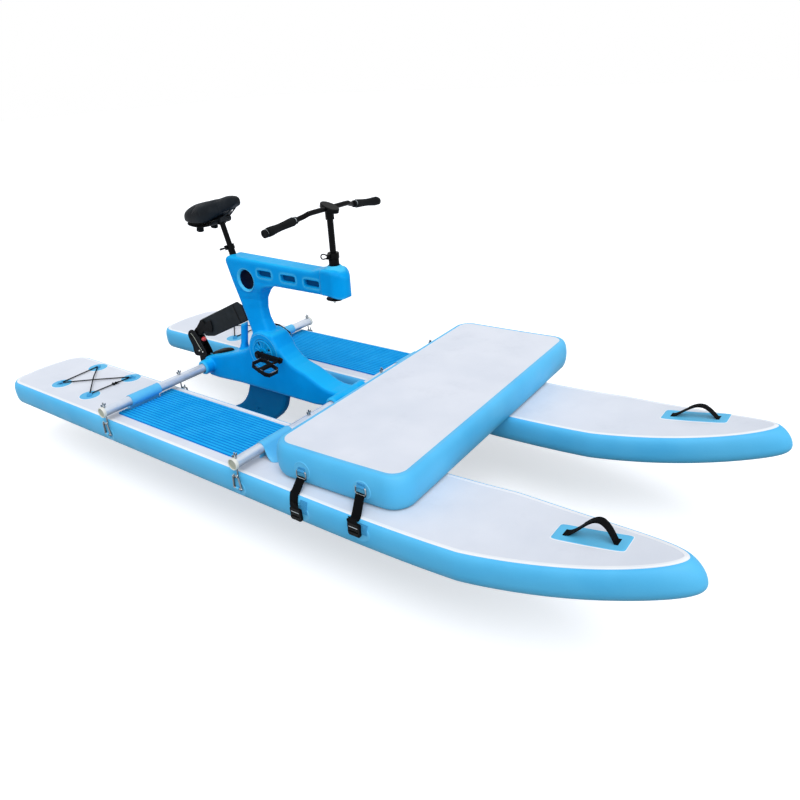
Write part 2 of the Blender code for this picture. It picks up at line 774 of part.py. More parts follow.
def hook_bolt(name, end, side):
    """J-shaped hook below the tube, its threaded end through the tube with a wing nut on top."""
    x = end * TUBE_X
    wire, turn = HOOK_WIRE_RADIUS, HOOK_TURN_RADIUS
    y = side * HOOK_Y
    path = [(x, y, TUBE_Z + 0.046), (x, y, TUBE_Z), (x, y, HOOK_TURN_Z)]
    for k in range(1, 7):
        angle = pi * k / 6
        path.append((x, y + side * turn * (1 - cos(angle)), HOOK_TURN_Z - turn * sin(angle)))
    path.append((x, y + side * 2 * turn, HOOK_TURN_Z + 0.008))
    obj = make(name, swept(path, wire, 6), "steel")
    top = TUBE_Z + TUBE_DIAMETER / 2 + TOUCH_GAP
    profile = [(0, 0), (0.009, 0), (0.009, 0.0016), (0.0062, 0.0016), (0.0055, 0.011), (0, 0.011)]
    join(obj, turned(profile, (x, y, top), (0, 0, 1), 12))
    wing = [(-0.0045, 0.003), (0.0045, 0.003), (0.015, 0.012), (0.017, 0.018), (0.014, 0.021),
        (0.010, 0.018), (0.004, 0.010)]
    wing += [(-u, v) for u, v in reversed(wing[2:])]
    outline = [(y + u, top + v) for u, v in wing]
    return join(obj, prism(outline, "X", x - 0.0014, x + 0.0014))


def d_ring(name, end, side):
    """Steel ring pulled up by the hook, and the webbing tab that holds it to the hull's rail."""
    x = end * TUBE_X
    rail = HULL_SPACING / 2 + HULL_DECK_HALF + HULL_RAIL_BULGE
    top_y = HOOK_Y + HOOK_TURN_RADIUS
    top_z = HOOK_TURN_Z - HOOK_TURN_RADIUS + HOOK_WIRE_RADIUS + RING_WIRE_RADIUS + 0.001
    low_y, low_z = rail + RING_WIRE_RADIUS + 0.003, top_z - RING_HEIGHT
    half = RING_WIDTH / 2
    flat = rounded([(-half, RING_HEIGHT, 0.006), (-half * 0.8, 0, 0.009), (half * 0.8, 0, 0.009),
        (half, RING_HEIGHT, 0.006)], 3)
    path = []
    for u, v in flat:
        share = v / RING_HEIGHT
        path.append((x + u, side * (low_y + (top_y - low_y) * share), low_z + v))
    obj = make(name, swept(path, RING_WIRE_RADIUS, 6, closed=True), "steel")
    inner, outer = rail + 0.0012, low_y + RING_WIRE_RADIUS + 0.0015
    ys = sorted((side * inner, side * outer))
    tab = box_outline(x - 0.015, x + 0.015, low_z - 0.036, low_z + RING_WIRE_RADIUS + 0.0015, 0.003, 1)
    return join(obj, prism(tab, "Y", *ys))


# Frame shell


REAR_TOP = ((-0.524, 0.203), (-0.434, 0.235), (-0.304, 0.269), (-0.202, 0.303))


def seat_point(distance, across=0.0):
    """World point on the seat axis, this far up from the top of the frame."""
    lean = radians(SEAT_LEAN_DEG)
    return (SEAT_AXIS_X - sin(lean) * distance, across, SEAT_AXIS_Z + cos(lean) * distance)


def seat_direction():
    lean = radians(SEAT_LEAN_DEG)
    return (-sin(lean), 0, cos(lean))


def shaft_point(distance):
    """World point on the inclined drive shaft, this far below the crank's centre."""
    dx, dz = POD_APEX_X - HUB_X, POD_Z - HUB_Z
    size = hypot(dx, dz)
    return (HUB_X + dx / size * distance, 0, HUB_Z + dz / size * distance)


def shaft_length():
    return hypot(POD_APEX_X - HUB_X, POD_Z - HUB_Z)


def column():
    """The leaning column between the lower body and the beam, wide at its rear and narrower in front."""
    rings = []
    for z, front, front_half in COLUMN_STATIONS:
        rear = COLUMN_REAR_X - (z - COLUMN_REAR_Z) * tan(radians(COLUMN_LEAN_DEG))
        outline = rounded(
            [
                (rear, -FRAME_BEAM_HALF, FRAME_EDGE),
                (front, -front_half, FRAME_EDGE),
                (front, front_half, FRAME_EDGE),
                (rear, FRAME_BEAM_HALF, FRAME_EDGE),
            ],
            2,
            even=True,
        )
        rings.append([(x, y, z) for x, y in outline])
    return rings_solid(rings)


def head_trim():
    """Cutter that rounds the front of the head as seen from above."""
    front, half, radius = HEAD_FRONT_X, HEAD_HALF, HEAD_PLAN_RADIUS
    nose = [(0.400, FRAME_BEAM_HALF + 0.0005), (0.445, half + 0.001)]
    for k in range(5):
        angle = pi / 2 * (1 - k / 4)
        nose.append((front - radius + radius * cos(angle), half - radius + radius * sin(angle)))
    outline = nose + [(x, -y) for x, y in reversed(nose)] + [(0.400, -0.10), (0.60, -0.10), (0.60, 0.10),
        (0.400, 0.10)]
    return prism(outline, "Z", 0.60, 0.90)


def main_frame(name):
    beam = rounded(
        [
            (HEAD_FRONT_X, BEAM_BOTTOM_Z, 0.018),
            (HEAD_FRONT_X, 0.801, 0.018),
            (0.503, 0.815, 0.05),
            (0.425, 0.815, 0.05),
            (0.360, 0.797, 0.05),
            (-0.232, 0.810, 0.026),
            (-0.194, BEAM_BOTTOM_Z, 0),
        ],
        4,
    )
    lower = rounded(
        [
            (REAR_TOP[0][0], 0.118, 0.018),
            (*REAR_TOP[0], 0.018),
            (*REAR_TOP[1], 0),
            (*REAR_TOP[2], 0),
            (*REAR_TOP[3], 0.06),
            (-0.140, 0.332, 0.08),
            (-0.098, 0.425, 0.03),
            (0.045, 0.436, 0.03),
            (0.096, 0.350, 0.15),
            (0.160, 0.297, 0.12),
            (0.255, 0.270, 0.12),
            (0.336, 0.233, 0),
            (0.385, 0.213, 0.12),
            (0.512, 0.210, 0.018),
            (0.512, 0.136, 0.018),
            (0.400, 0.120, 0),
            (0.300, FRAME_BOTTOM_Z, 0),
            (-0.250, FRAME_BOTTOM_Z, 0),
            (-0.415, 0.098, 0),
            (-0.490, 0.100, 0.03),
        ],
        4,
    )
    half = FRAME_BODY_HALF
    obj = make(name, prism(lower, "Y", -half, half, FRAME_EDGE, 2), "frame_blue", smooth_deg=40)
    join(obj, prism(beam, "Y", -FRAME_BEAM_HALF, FRAME_BEAM_HALF, FRAME_EDGE, 2))
    join(obj, column())
    profile = [(0, -HUB_HALF), (HUB_RADIUS - 0.010, -HUB_HALF), (HUB_RADIUS - 0.003, -HUB_HALF + 0.003)]
    profile += [(HUB_RADIUS, -HUB_HALF + 0.010), (HUB_RADIUS, HUB_HALF - 0.010)]
    profile += [(HUB_RADIUS - 0.003, HUB_HALF - 0.003), (HUB_RADIUS - 0.010, HUB_HALF), (0, HUB_HALF)]
    join(obj, turned(profile, (HUB_X, 0, HUB_Z), (0, 1, 0), 32))
    for x in (TUBE_X, -TUBE_X):
        edge = 0.005
        profile = [(0, -SOCKET_HALF), (SOCKET_RADIUS - edge, -SOCKET_HALF),
            (SOCKET_RADIUS, -SOCKET_HALF + edge)]
        profile += [(r, -d) for r, d in reversed(profile)]
        join(obj, turned(profile, (x, 0, TUBE_Z), (0, 1, 0), 24))
    collar = [(0, 0.760), (HEAD_COLLAR_RADIUS + 0.004, 0.760), (HEAD_COLLAR_RADIUS + 0.002, 0.814)]
    collar += [(HEAD_COLLAR_RADIUS, 0.820), (HEAD_COLLAR_RADIUS - 0.003, HEAD_COLLAR_TOP_Z),
        (0, HEAD_COLLAR_TOP_Z)]
    join(obj, turned(collar, (STEER_X, 0, 0), (0, 0, 1), 24))
    post_low, post_high = (-0.243, 0, 0.265), (-0.205, 0, REST_POST_TOP_Z)
    length = (Vector(post_high) - Vector(post_low)).length
    post = [(0, 0), (REST_POST_RADIUS + 0.020, 0), (REST_POST_RADIUS + 0.006, 0.035),
        (REST_POST_RADIUS, 0.060)]
    post += [(REST_POST_RADIUS, length - 0.004), (REST_POST_RADIUS - 0.004, length), (0, length)]
    join(obj, turned(post, post_low, Vector(post_high) - Vector(post_low), 16))
    rise = tan(radians(BLADE_UP_DEG))
    seat_low = REST_SEAT[1] + rise * (-0.250 - REST_SEAT[0])
    seat_high = REST_SEAT[1] + rise * (-0.178 - REST_SEAT[0])
    boolean(obj, prism([(-0.250, seat_low), (-0.178, seat_high), (-0.178, 0.50), (-0.250, 0.50)], "Y",
        -0.04, 0.04))

    for x in (TUBE_X, -TUBE_X):
        boolean(obj, rod((x, -0.2, TUBE_Z), (x, 0.2, TUBE_Z), TUBE_DIAMETER / 2 + SLIDE_GAP, 24))
    boolean(obj, rod((HUB_X, -0.1, HUB_Z), (HUB_X, 0.1, HUB_Z), HUB_BORE_RADIUS, 30))
    for x, z in SLOT_CENTRES:
        outline = box_outline(x - SLOT_LENGTH / 2, x + SLOT_LENGTH / 2, z - SLOT_HEIGHT / 2,
            z + SLOT_HEIGHT / 2, SLOT_CORNER, 1)
        boolean(obj, through_cut(outline, "Y", FRAME_BEAM_HALF, SLOT_RIM))
    hole = circle(*ROUND_HOLE, ROUND_HOLE_RADIUS, 28)
    boolean(obj, through_cut(hole, "Y", FRAME_BEAM_HALF, ROUND_HOLE_RIM))
    boolean(obj, head_trim())
    bore = STEERER_RADIUS + SLIDE_GAP
    boolean(obj, rod((STEER_X, 0, 0.60), (STEER_X, 0, 0.90), bore, 20))
    bore = SEAT_POST_RADIUS + SLIDE_GAP
    boolean(obj, rod(seat_point(-SEAT_BORE_DEPTH), seat_point(0.1), bore, 20))
    bore = SEAT_SLEEVE_RADIUS + SLIDE_GAP
    boolean(obj, rod(seat_point(-SEAT_SLEEVE_DEPTH - TOUCH_GAP), seat_point(0.1), bore, 20))
    bore = SHAFT_RADIUS + SHAFT_BORE_GAP
    boolean(obj, rod(shaft_point(0.05), shaft_point(0.30), bore, 16))
    return obj


def rear_hatch_cover(name):
    """Thin lens-shaped cover lying on the sloping rear top of the frame."""
    middle = (HATCH_REAR_X + HATCH_FRONT_X) / 2
    half_length = (HATCH_FRONT_X - HATCH_REAR_X) / 2 - 0.004
    spaced = {round(middle + half_length * sin(pi / 2 * k / 6), 5) for k in range(-6, 7)}
    stations = sorted(spaced | {REAR_TOP[1][0]})

    def half(x):
        return max(0.0015, HATCH_HALF * (1 - abs((x - middle) / half_length) ** 2.2))

    def top(x):
        for (x0, z0), (x1, z1) in zip(REAR_TOP, REAR_TOP[1:]):
            if x <= x1:
                return z0 + (z1 - z0) * (x - x0) / (x1 - x0)
        return REAR_TOP[-1][1]

    rings = []
    for x in stations:
        low, wide = top(x) + TOUCH_GAP, half(x)
        high = low + HATCH_THICKNESS
        crown = high + 0.0015
        rings.append([(x, -wide, low), (x, wide, low), (x, wide, high - 0.001), (x, wide * 0.8, high),
            (x, 0, crown), (x, -wide * 0.8, high), (x, -wide, high - 0.001)])
    return make(name, rings_solid(rings), "black_plastic")


# Drive


def gear_cover(name, side):
    """Round cover in the hub's bore, dished between its rim and the crank's boss."""
    radius = HUB_BORE_RADIUS - SLIDE_GAP
    outer = HUB_HALF + COVER_PROUD
    inner = outer - COVER_THICKNESS
    bore = AXLE_RADIUS + SLIDE_GAP + 0.0005
    profile = [(bore, inner), (radius, inner), (radius, outer - 0.002), (radius - 0.002, outer),
        (radius - 0.008, outer)]
    profile += [(radius - 0.010, outer - 0.004), (0.027, outer - 0.004), (0.026, outer + 0.002),
        (bore, outer + 0.002)]
    centre = (HUB_X, 0, HUB_Z)
    return make(name, turned(profile, centre, (0, side, 0), 30, ring=True), "frame_blue")


def crank_axle(name):
    solid = rod((HUB_X, -AXLE_HALF, HUB_Z), (HUB_X, AXLE_HALF, HUB_Z), AXLE_RADIUS, 20, 0.001)
    return make(name, solid, "dark_steel", (HUB_X, 0, HUB_Z))


def cone_profile(radius, height, face, back, bore=None):
    """Bevel wheel as a plain cone: pitch radius and height from the apex, face width and back thickness."""
    size = hypot(radius, height)
    share = 1 - face / size
    small = (radius * share, height * share)
    hub = max(0.5 * radius, (bore or 0) + 0.004)
    outside = [small, (radius, height), (radius * 0.96, height + back), (hub, height + back)]
    if bore is None:
        return [(0, small[1]), *outside, (0, height + back)]
    return [(bore, small[1]), *outside[:3], (hub, height + back), (hub, height + back + 0.004),
        (bore, height + back + 0.004)]


def crank_bevel_gear(name):
    radius = TOP_GEAR_RADIUS - SLIDE_GAP
    profile = cone_profile(radius, TOP_PINION_RADIUS + SLIDE_GAP, GEAR_FACE, GEAR_BACK,
        AXLE_RADIUS + SLIDE_GAP)
    centre = (HUB_X, 0, HUB_Z)
    return make(name, turned(profile, centre, (0, 1, 0), 32, ring=True), "dark_steel", centre)


def lower_cones():
    """Half angles of the wheel on the drive shaft and of the one on the propeller shaft."""
    between = atan2(HUB_Z - POD_Z, HUB_X - POD_APEX_X)
    small = atan2(sin(between), LOWER_RATIO + cos(between))
    return between - small, small


def drive_shaft(name):
    """Inclined shaft with a pinion at the crank and a bevel wheel in the pod."""
    cone = cone_profile(TOP_PINION_RADIUS - SLIDE_GAP, TOP_GEAR_RADIUS + SLIDE_GAP, GEAR_FACE, GEAR_BACK)
    big, _ = lower_cones()
    size = LOWER_GEAR_RADIUS / sin(big)
    share = 1 - 0.008 / size
    height = size * cos(big)
    total = shaft_length()
    low_small = total - height * share
    profile = cone[:-1] + [(SHAFT_RADIUS, cone[-1][1]), (SHAFT_RADIUS, total - height - GEAR_BACK)]
    profile += [(0.6 * LOWER_GEAR_RADIUS, total - height - GEAR_BACK),
        (0.97 * LOWER_GEAR_RADIUS, total - height - 0.003)]
    profile += [(LOWER_GEAR_RADIUS - SLIDE_GAP, total - height - SLIDE_GAP)]
    profile += [((LOWER_GEAR_RADIUS - SLIDE_GAP) * share, low_small - SLIDE_GAP), (0, low_small - SLIDE_GAP)]
    direction = Vector(shaft_point(1)) - Vector(shaft_point(0))
    middle = shaft_point(total / 2)
    return make(name, turned(profile, shaft_point(0), direction, 20), "dark_steel", middle)


def drive_leg(name):
    outline = rounded(
        [
            (-0.222, FRAME_BOTTOM_Z - TOUCH_GAP, 0),
            (-0.236, 0.060, 0.2),
            (-0.268, 0.000, 0.15),
            (-0.327, -0.055, 0.1),
            (-0.420, -0.104, 0.1),
            (-0.470, -0.122, 0),
            (-0.470, -0.160, 0),
            (-0.175, -0.160, 0),
            (-0.130, -0.134, 0.05),
            (-0.060, -0.086, 0.1),
            (0.006, -0.032, 0.12),
            (0.046, 0.030, 0.12),
            (0.056, FRAME_BOTTOM_Z - TOUCH_GAP, 0),
        ],
        3,
    )
    obj = make(name, prism(outline, "Y", -LEG_HALF, LEG_HALF, LEG_EDGE, 2), "leg_blue", smooth_deg=40)
    pod = [(0, 0.0), (0.014, 0.004), (0.026, 0.015), (0.034, 0.034), (POD_RADIUS, 0.055)]
    pod += [(POD_RADIUS, 0.230), (0.033, 0.290), (0.029, POD_X[0] - POD_X[1]), (0, POD_X[0] - POD_X[1])]
    join(obj, turned(pod, (POD_X[0] + 0.020, 0, POD_Z), (-1, 0, 0), 24))
    wide = SHAFT_RADIUS + SHAFT_BORE_GAP + 0.0035
    boolean(obj, rod(shaft_point(0.20), shaft_point(shaft_length() - 0.005), wide, 20))
    ball = [(POD_POCKET_RADIUS * sin(pi * k / 8), -POD_POCKET_RADIUS * cos(pi * k / 8)) for k in range(9)]
    ball[0] = (0, ball[0][1])
    ball[-1] = (0, ball[-1][1])
    boolean(obj, turned(ball, (POD_APEX_X, 0, POD_Z), (1, 0, 0), 16))
    boolean(obj, rod((POD_APEX_X, 0, POD_Z), (POD_X[1] - 0.02, 0, POD_Z), PROP_SHAFT_BORE, 20))
    for side in (-1, 1):
        slot = rounded([(-0.188, -0.052, 0.0045), (-0.160, -0.046, 0.0045), (-0.158, -0.036, 0.0045),
            (-0.186, -0.042, 0.0045)], 2)
        ys = sorted((side * (LEG_HALF - 0.006), side * (LEG_HALF + 0.01)))
        boolean(obj, prism(slot, "Y", *ys))
    return obj


def propeller_shaft(name):
    big, small = lower_cones()
    size = LOWER_GEAR_RADIUS / sin(big)
    height = size * cos(small)
    radius = size * sin(small)
    share = 1 - 0.008 / size
    start = POD_APEX_X + height + 0.004
    step = start - POD_APEX_X
    profile = [(0, 0), (radius * 0.9, 0), (radius - SLIDE_GAP, step - height - SLIDE_GAP)]
    profile += [((radius - SLIDE_GAP) * share, step - height * share - SLIDE_GAP),
        (0.0045, step - height * share + 0.001)]
    profile += [(0.0045, step + 0.020), (PROP_SHAFT_RADIUS, step + 0.024),
        (PROP_SHAFT_RADIUS, start - PROP_HUB_X[1] - 0.016)]
    profile += [(0.006, start - PROP_HUB_X[1] - 0.012), (0, start - PROP_HUB_X[1] - 0.012)]
    middle = (POD_X[1], 0, POD_Z)
    return make(name, turned(profile, (start, 0, POD_Z), (-1, 0, 0), 18), "dark_steel", middle)


def blade_section(radius, thickness, chord, angle_deg):
    """One aerofoil ring of a propeller blade, the blade along +Z and the shaft along X."""
    pitch = atan2(PROP_PITCH, 2 * pi * radius)
    ring = []
    for u, v in ((0.5, 0), (0.32, 0.55), (0.0, 1.0), (-0.32, 0.62), (-0.5, 0), (-0.32, -0.30), (0.0, -0.42),
        (0.32, -0.25)):
        along, over = u * chord, v * thickness / 2
        x = along * sin(pitch) + over * cos(pitch)
        y = along * cos(pitch) - over * sin(pitch)
        ring.append(Vector((x, y, radius)))
    turn = Matrix.Rotation(radians(angle_deg), 3, "X")
    return [turn @ point for point in ring]


def propeller(name):
    front, rear = PROP_HUB_X
    length = front - rear
    bore = PROP_SHAFT_RADIUS + SLIDE_GAP
    hub = [(0, length - 0.010), (bore, length - 0.010), (bore, 0), (PROP_HUB_RADIUS, 0),
        (PROP_HUB_RADIUS, length * 0.55)]
    hub += [(PROP_HUB_RADIUS * 0.85, length * 0.8), (PROP_HUB_RADIUS * 0.5, length * 0.96), (0, length)]
    centre = (front, 0, POD_Z)
    obj = make(name, turned(hub, centre, (-1, 0, 0), 20), "black_plastic", centre)
    middle_x = (front + rear) / 2 + 0.006
    sizes = ((0.016, 0.010, 0.026), (0.035, 0.0095, 0.040), (0.060, 0.008, 0.052), (0.085, 0.0065, 0.053),
        (0.110, 0.005, 0.043), (0.123, 0.004, 0.029), (PROP_RADIUS, 0.003, 0.010))
    for turn in (PROP_REST_DEG, PROP_REST_DEG + 180):
        rings = []
        for radius, thickness, chord in sizes:
            ring = blade_section(radius, thickness, chord, turn - 90)
            rings.append([point + Vector((middle_x, 0, POD_Z)) for point in ring])
        join(obj, rings_solid(rings))
    return obj


def crank_arm(name, side):
    """Tapered arm with a spindle for the pedal. Starboard points forward at rest, port aft."""
    forward = 1 if side < 0 else -1
    tip_x = HUB_X + forward * CRANK_LENGTH
    count = 8
    outline = []
    for k in range(count + 1):
        angle = pi / 2 + pi * k / count
        outline.append((HUB_X + forward * CRANK_BOSS_RADIUS * cos(angle),
            HUB_Z + CRANK_BOSS_RADIUS * sin(angle)))
    for k in range(count + 1):
        angle = -pi / 2 + pi * k / count
        outline.append((tip_x + forward * CRANK_TIP_RADIUS * cos(angle),
            HUB_Z + CRANK_TIP_RADIUS * sin(angle)))
    low, high = CRANK_ARM_Y - CRANK_ARM_THICKNESS / 2, CRANK_ARM_Y + CRANK_ARM_THICKNESS / 2
    ys = sorted((side * low, side * high))
    obj = make(name, prism(outline, "Y", *ys, 0.003, 1), "black_metal", (HUB_X, 0, HUB_Z))
    far = PEDAL_Y + PEDAL_WIDTH / 2 - 0.004
    join(obj, rod((tip_x, side * (high - 0.004), HUB_Z), (tip_x, side * far, HUB_Z), PEDAL_SPINDLE_RADIUS,
        14))
    bore = AXLE_RADIUS + SLIDE_GAP
    return boolean(obj, rod((HUB_X, side * 0.08, HUB_Z), (HUB_X, side * 0.13, HUB_Z), bore, 20))


def tip_pedal(obj, pivot, angle_deg):
    """Turns the pedal and its window cutters about the spindle."""
    turn = Matrix.Translation(pivot) @ Matrix.Rotation(radians(angle_deg), 4,
        "Y") @ Matrix.Translation(-Vector(pivot))
    pieces = [obj] + [modifier.object for modifier in obj.modifiers]
    for piece in pieces:
        place_matrix = Matrix.Translation(piece.location)
        piece.data.transform(place_matrix.inverted() @ turn @ place_matrix)


def pedal(name, side):
    """Platform pedal with two windows, turning on its spindle. It hangs tipped forward at rest."""
    forward = 1 if side < 0 else -1
    x = HUB_X + forward * CRANK_LENGTH
    half_x, half_y = PEDAL_LENGTH / 2, PEDAL_WIDTH / 2
    y = side * PEDAL_Y
    outline = rounded(
        [
            (x - half_x, y - half_y * 0.78, 0.008),
            (x - half_x * 0.72, y - half_y, 0.008),
            (x + half_x * 0.72, y - half_y, 0.008),
            (x + half_x, y - half_y * 0.78, 0.008),
            (x + half_x, y + half_y * 0.78, 0.008),
            (x + half_x * 0.72, y + half_y, 0.008),
            (x - half_x * 0.72, y + half_y, 0.008),
            (x - half_x, y + half_y * 0.78, 0.008),
        ],
        1,
    )
    low, high = HUB_Z - PEDAL_THICKNESS / 2, HUB_Z + PEDAL_THICKNESS / 2
    obj = make(name, prism(outline, "Z", low, high, 0.003, 1), "black_plastic", (x, y, HUB_Z))
    for turn in (-1, 1):
        x0, x1 = sorted((x + turn * 0.013, x + turn * (half_x - 0.009)))
        window = box_outline(x0, x1, y - half_y + 0.011, y + half_y - 0.011, 0.004, 1)
        boolean(obj, prism(window, "Z", low - 0.01, high + 0.01))
    bore = PEDAL_SPINDLE_RADIUS + SLIDE_GAP
    tip_pedal(obj, (x, y, HUB_Z), PEDAL_TIP_DEG[side])
    return boolean(obj, rod((x, y - side * (half_y + 0.01), HUB_Z), (x, y + side * (half_y - 0.002), HUB_Z),
        bore, 14))


# Seat


def seat_lug(distance):
    """Centre of the seat lever's hinge pin, on the starboard side of the clamp."""
    x, _, z = seat_point(distance)
    return (x, -SEAT_CLAMP_RADIUS - 0.009, z)


def seat_clamp(name):
    inner = SEAT_POST_RADIUS + SLIDE_GAP
    top = SEAT_CLAMP_TOP
    profile = [(inner, -SEAT_SLEEVE_DEPTH), (SEAT_SLEEVE_RADIUS, -SEAT_SLEEVE_DEPTH),
        (SEAT_SLEEVE_RADIUS, top - SEAT_CLAMP_HEIGHT)]
    profile += [(SEAT_CLAMP_RADIUS, top - SEAT_CLAMP_HEIGHT), (SEAT_CLAMP_RADIUS, top), (inner, top)]
    obj = make(name, turned(profile, seat_point(0), seat_direction(), 20, ring=True), "black_metal",
        seat_point(0))
    middle = top - SEAT_CLAMP_HEIGHT / 2
    for reach in (-1, 1):
        centre = middle + reach * 0.0095
        low, high = Vector(seat_lug(centre - 0.002)), Vector(seat_lug(centre + 0.002))
        join(obj, rod(low, high, 0.0065, 12))
        inside = Vector(seat_point(centre)) + Vector((0, -SEAT_CLAMP_RADIUS + 0.002, 0))
        join(obj, rod(inside, seat_lug(centre), 0.002, 6))
    join(obj, rod(seat_lug(middle - 0.0105), seat_lug(middle + 0.0105), 0.0025, 10))
    return obj


def lever(name, pin, up, along, outward, length):
    """Cam lever with an eye round its pin, its handle lying along the clamp."""
    pin, up, along, outward = (Vector(v) for v in (pin, up, along, outward))
    count = 10
    flat = []
    for k in range(count + 1):
        angle = pi / 2 + pi * k / count
        flat.append((0.0062 * cos(angle), 0.0062 * sin(angle)))
    flat += [(0.012, -0.0062), (0.022, -0.0015), (length - 0.006, 0.0035), (length, 0.006)]
    flat += [(length, 0.0105), (length - 0.008, 0.0098), (0.022, 0.0045), (0.010, 0.0062)]
    half = LEVER_HEIGHT / 2
    ring_low = [pin + along * u + outward * v - up * half for u, v in flat]
    ring_high = [pin + along * u + outward * v + up * half for u, v in flat]
    obj = make(name, rings_solid([ring_low, ring_high]), "dark_steel", pin)
    return boolean(obj, rod(pin - up * 0.02, pin + up * 0.02, 0.0025 + SLIDE_GAP, 10))


def seat_post(name):
    low = -SEAT_POST_INSERTION
    wall = 0.0022
    radius = SEAT_POST_RADIUS
    high = SEAT_BARREL - 0.004
    profile = [(0, high - 0.02), (radius - wall, high - 0.02), (radius - wall, low), (radius, low),
        (radius, high), (0, high)]
    obj = make(name, turned(profile, seat_point(0), seat_direction(), 20), "black_metal", seat_point(0))
    join(obj, rod(seat_point(SEAT_BARREL, -0.019), seat_point(SEAT_BARREL, 0.019), SEAT_BARREL_RADIUS, 20))
    return obj


def saddle_top(x):
    """Height of the saddle's centre line before its ends are rounded down."""
    return SADDLE_TOP_POINT[1] + tan(radians(SADDLE_TOP_SLOPE_DEG)) * (x - SADDLE_TOP_POINT[0])


SADDLE_STATIONS = (
    (0.000, 0.42, 0.040, 0.040),
    (0.016, 0.72, 0.020, 0.068),
    (0.048, 0.92, 0.006, 0.086),
    (0.090, 1.00, 0.000, 0.090),
    (0.130, 0.96, 0.000, 0.084),
    (0.165, 0.80, 0.002, 0.074),
    (0.200, 0.58, 0.004, 0.062),
    (0.235, 0.40, 0.003, 0.054),
    (0.270, 0.31, 0.001, 0.049),
    (0.305, 0.27, 0.000, 0.046),
    (0.332, 0.23, 0.004, 0.040),
    (0.347, 0.13, 0.013, 0.022),
)


def saddle_ring(x, half, drop, depth):
    """Closed ring of the saddle at one station: a crowned top and a flat underside."""
    top = saddle_top(x) - drop
    base = top - depth
    across = (0.0, 0.35, 0.62, 0.82, 0.95, 1.0)
    ring = []
    for u in across:
        ring.append((x, u * half, top - depth * 0.62 * (1 - sqrt(max(0.0, 1 - u**2.8)))))
    ring.append((x, half * 0.97, base + depth * 0.22))
    ring.append((x, half * 0.88, base))
    left = [(px, -py, pz) for px, py, pz in reversed(ring) if py > 0]
    return ring + left


def saddle(name):
    rings = []
    for along, wide, drop, depth in SADDLE_STATIONS:
        rings.append(saddle_ring(SADDLE_REAR_X + along, SADDLE_HALF_WIDTH * wide, drop, depth))
    return make(name, rings_solid(rings), "saddle_cover", seat_point(SEAT_BARREL), smooth_deg=60)


def saddle_underside(x):
    along = x - SADDLE_REAR_X
    for (a0, _, drop0, depth0), (a1, _, drop1, depth1) in zip(SADDLE_STATIONS, SADDLE_STATIONS[1:]):
        if along <= a1:
            share = (along - a0) / (a1 - a0)
            return saddle_top(x) - (drop0 + (drop1 - drop0) * share) - (depth0 + (depth1 - depth0) * share)
    return saddle_top(x) - 0.04


def saddle_clamp(name):
    """Cradle on the seat post's barrel with the two saddle rails."""
    x, _, z = seat_point(SEAT_BARREL)
    outline = rounded([(x - 0.024, z + 0.002, 0.003), (x + 0.024, z + 0.004, 0.003),
        (x + 0.022, z + 0.030, 0.004), (x - 0.020, z + 0.022, 0.004)], 2)
    obj = make(name, prism(outline, "Y", -0.024, 0.024, 0.002, 1), "dark_steel", seat_point(SEAT_BARREL))
    boolean(obj, rod((x, -0.05, z), (x, 0.05, z), SEAT_BARREL_RADIUS + SLIDE_GAP, 20))
    for side in (-1, 1):
        rail_gap = SADDLE_RAIL_RADIUS + TOUCH_GAP
        path = []
        for px, drop, py in ((-0.395, 0.0, 0.034), (-0.372, 0.010, 0.030), (x - 0.040, 0.0, 0.022),
            (x + 0.040, 0.0, 0.022), (-0.160, 0.012, 0.012), (-0.138, 0.0, 0.010)):
            base = saddle_underside(px) - rail_gap - drop
            if abs(px - x) < 0.05:
                base = z + 0.022 + (px - x) * 0.17
            path.append((px, side * py, min(base, saddle_underside(px) - rail_gap)))
        join(obj, swept(path, SADDLE_RAIL_RADIUS, 8))
    return obj


# Steering


def steerer_tube(name):
    inner = BAR_POST_RADIUS + SLIDE_GAP
    outer = STEERER_RADIUS
    flange = HEAD_COLLAR_TOP_Z + TOUCH_GAP
    profile = [(0, STEERER_BOTTOM_Z), (0.034, STEERER_BOTTOM_Z), (0.036, STEERER_BOTTOM_Z + 0.003),
        (0.036, STEERER_BOTTOM_Z + 0.012)]
    profile += [(0.020, STEERER_BOTTOM_Z + 0.014), (0.020, 0.690 - TOUCH_GAP), (outer, 0.690 - TOUCH_GAP),
        (outer, flange)]
    profile += [(0.028, flange), (0.028, flange + 0.006), (0.0195, flange + 0.010), (0.0195, 0.856),
        (0.0235, 0.858)]
    profile += [(0.0235, STEERER_TOP_Z), (inner, STEERER_TOP_Z)]
    profile += [(inner, STEERER_BORE_BOTTOM_Z), (0, STEERER_BORE_BOTTOM_Z)]
    obj = make(name, turned(profile, (STEER_X, 0, 0), (0, 0, 1), 20), "black_metal", (STEER_X, 0, 0.8))
    lug_x, lug_y = bar_lug()[:2]
    for z in (0.8615, 0.8815):
        join(obj, rod((lug_x, lug_y, z - 0.002), (lug_x, lug_y, z + 0.002), 0.0065, 12))
        join(obj, rod((STEER_X, -0.021, z), (lug_x, lug_y, z), 0.002, 6))
    join(obj, rod((lug_x, lug_y, 0.8605), (lug_x, lug_y, 0.8825), 0.0025, 10))
    return obj


def bar_lug():
    return (STEER_X, -0.0325, 0.8715)


def bar_post(name):
    radius = BAR_POST_RADIUS
    wall = 0.0022
    profile = [(radius - wall, BAR_POST_BOTTOM_Z), (radius, BAR_POST_BOTTOM_Z), (radius, BAR_POST_TOP_Z),
        (radius - wall, BAR_POST_TOP_Z)]
    return make(name, turned(profile, (STEER_X, 0, 0), (0, 0, 1), 20, ring=True), "black_metal",
        (STEER_X, 0, BAR_POST_TOP_Z))


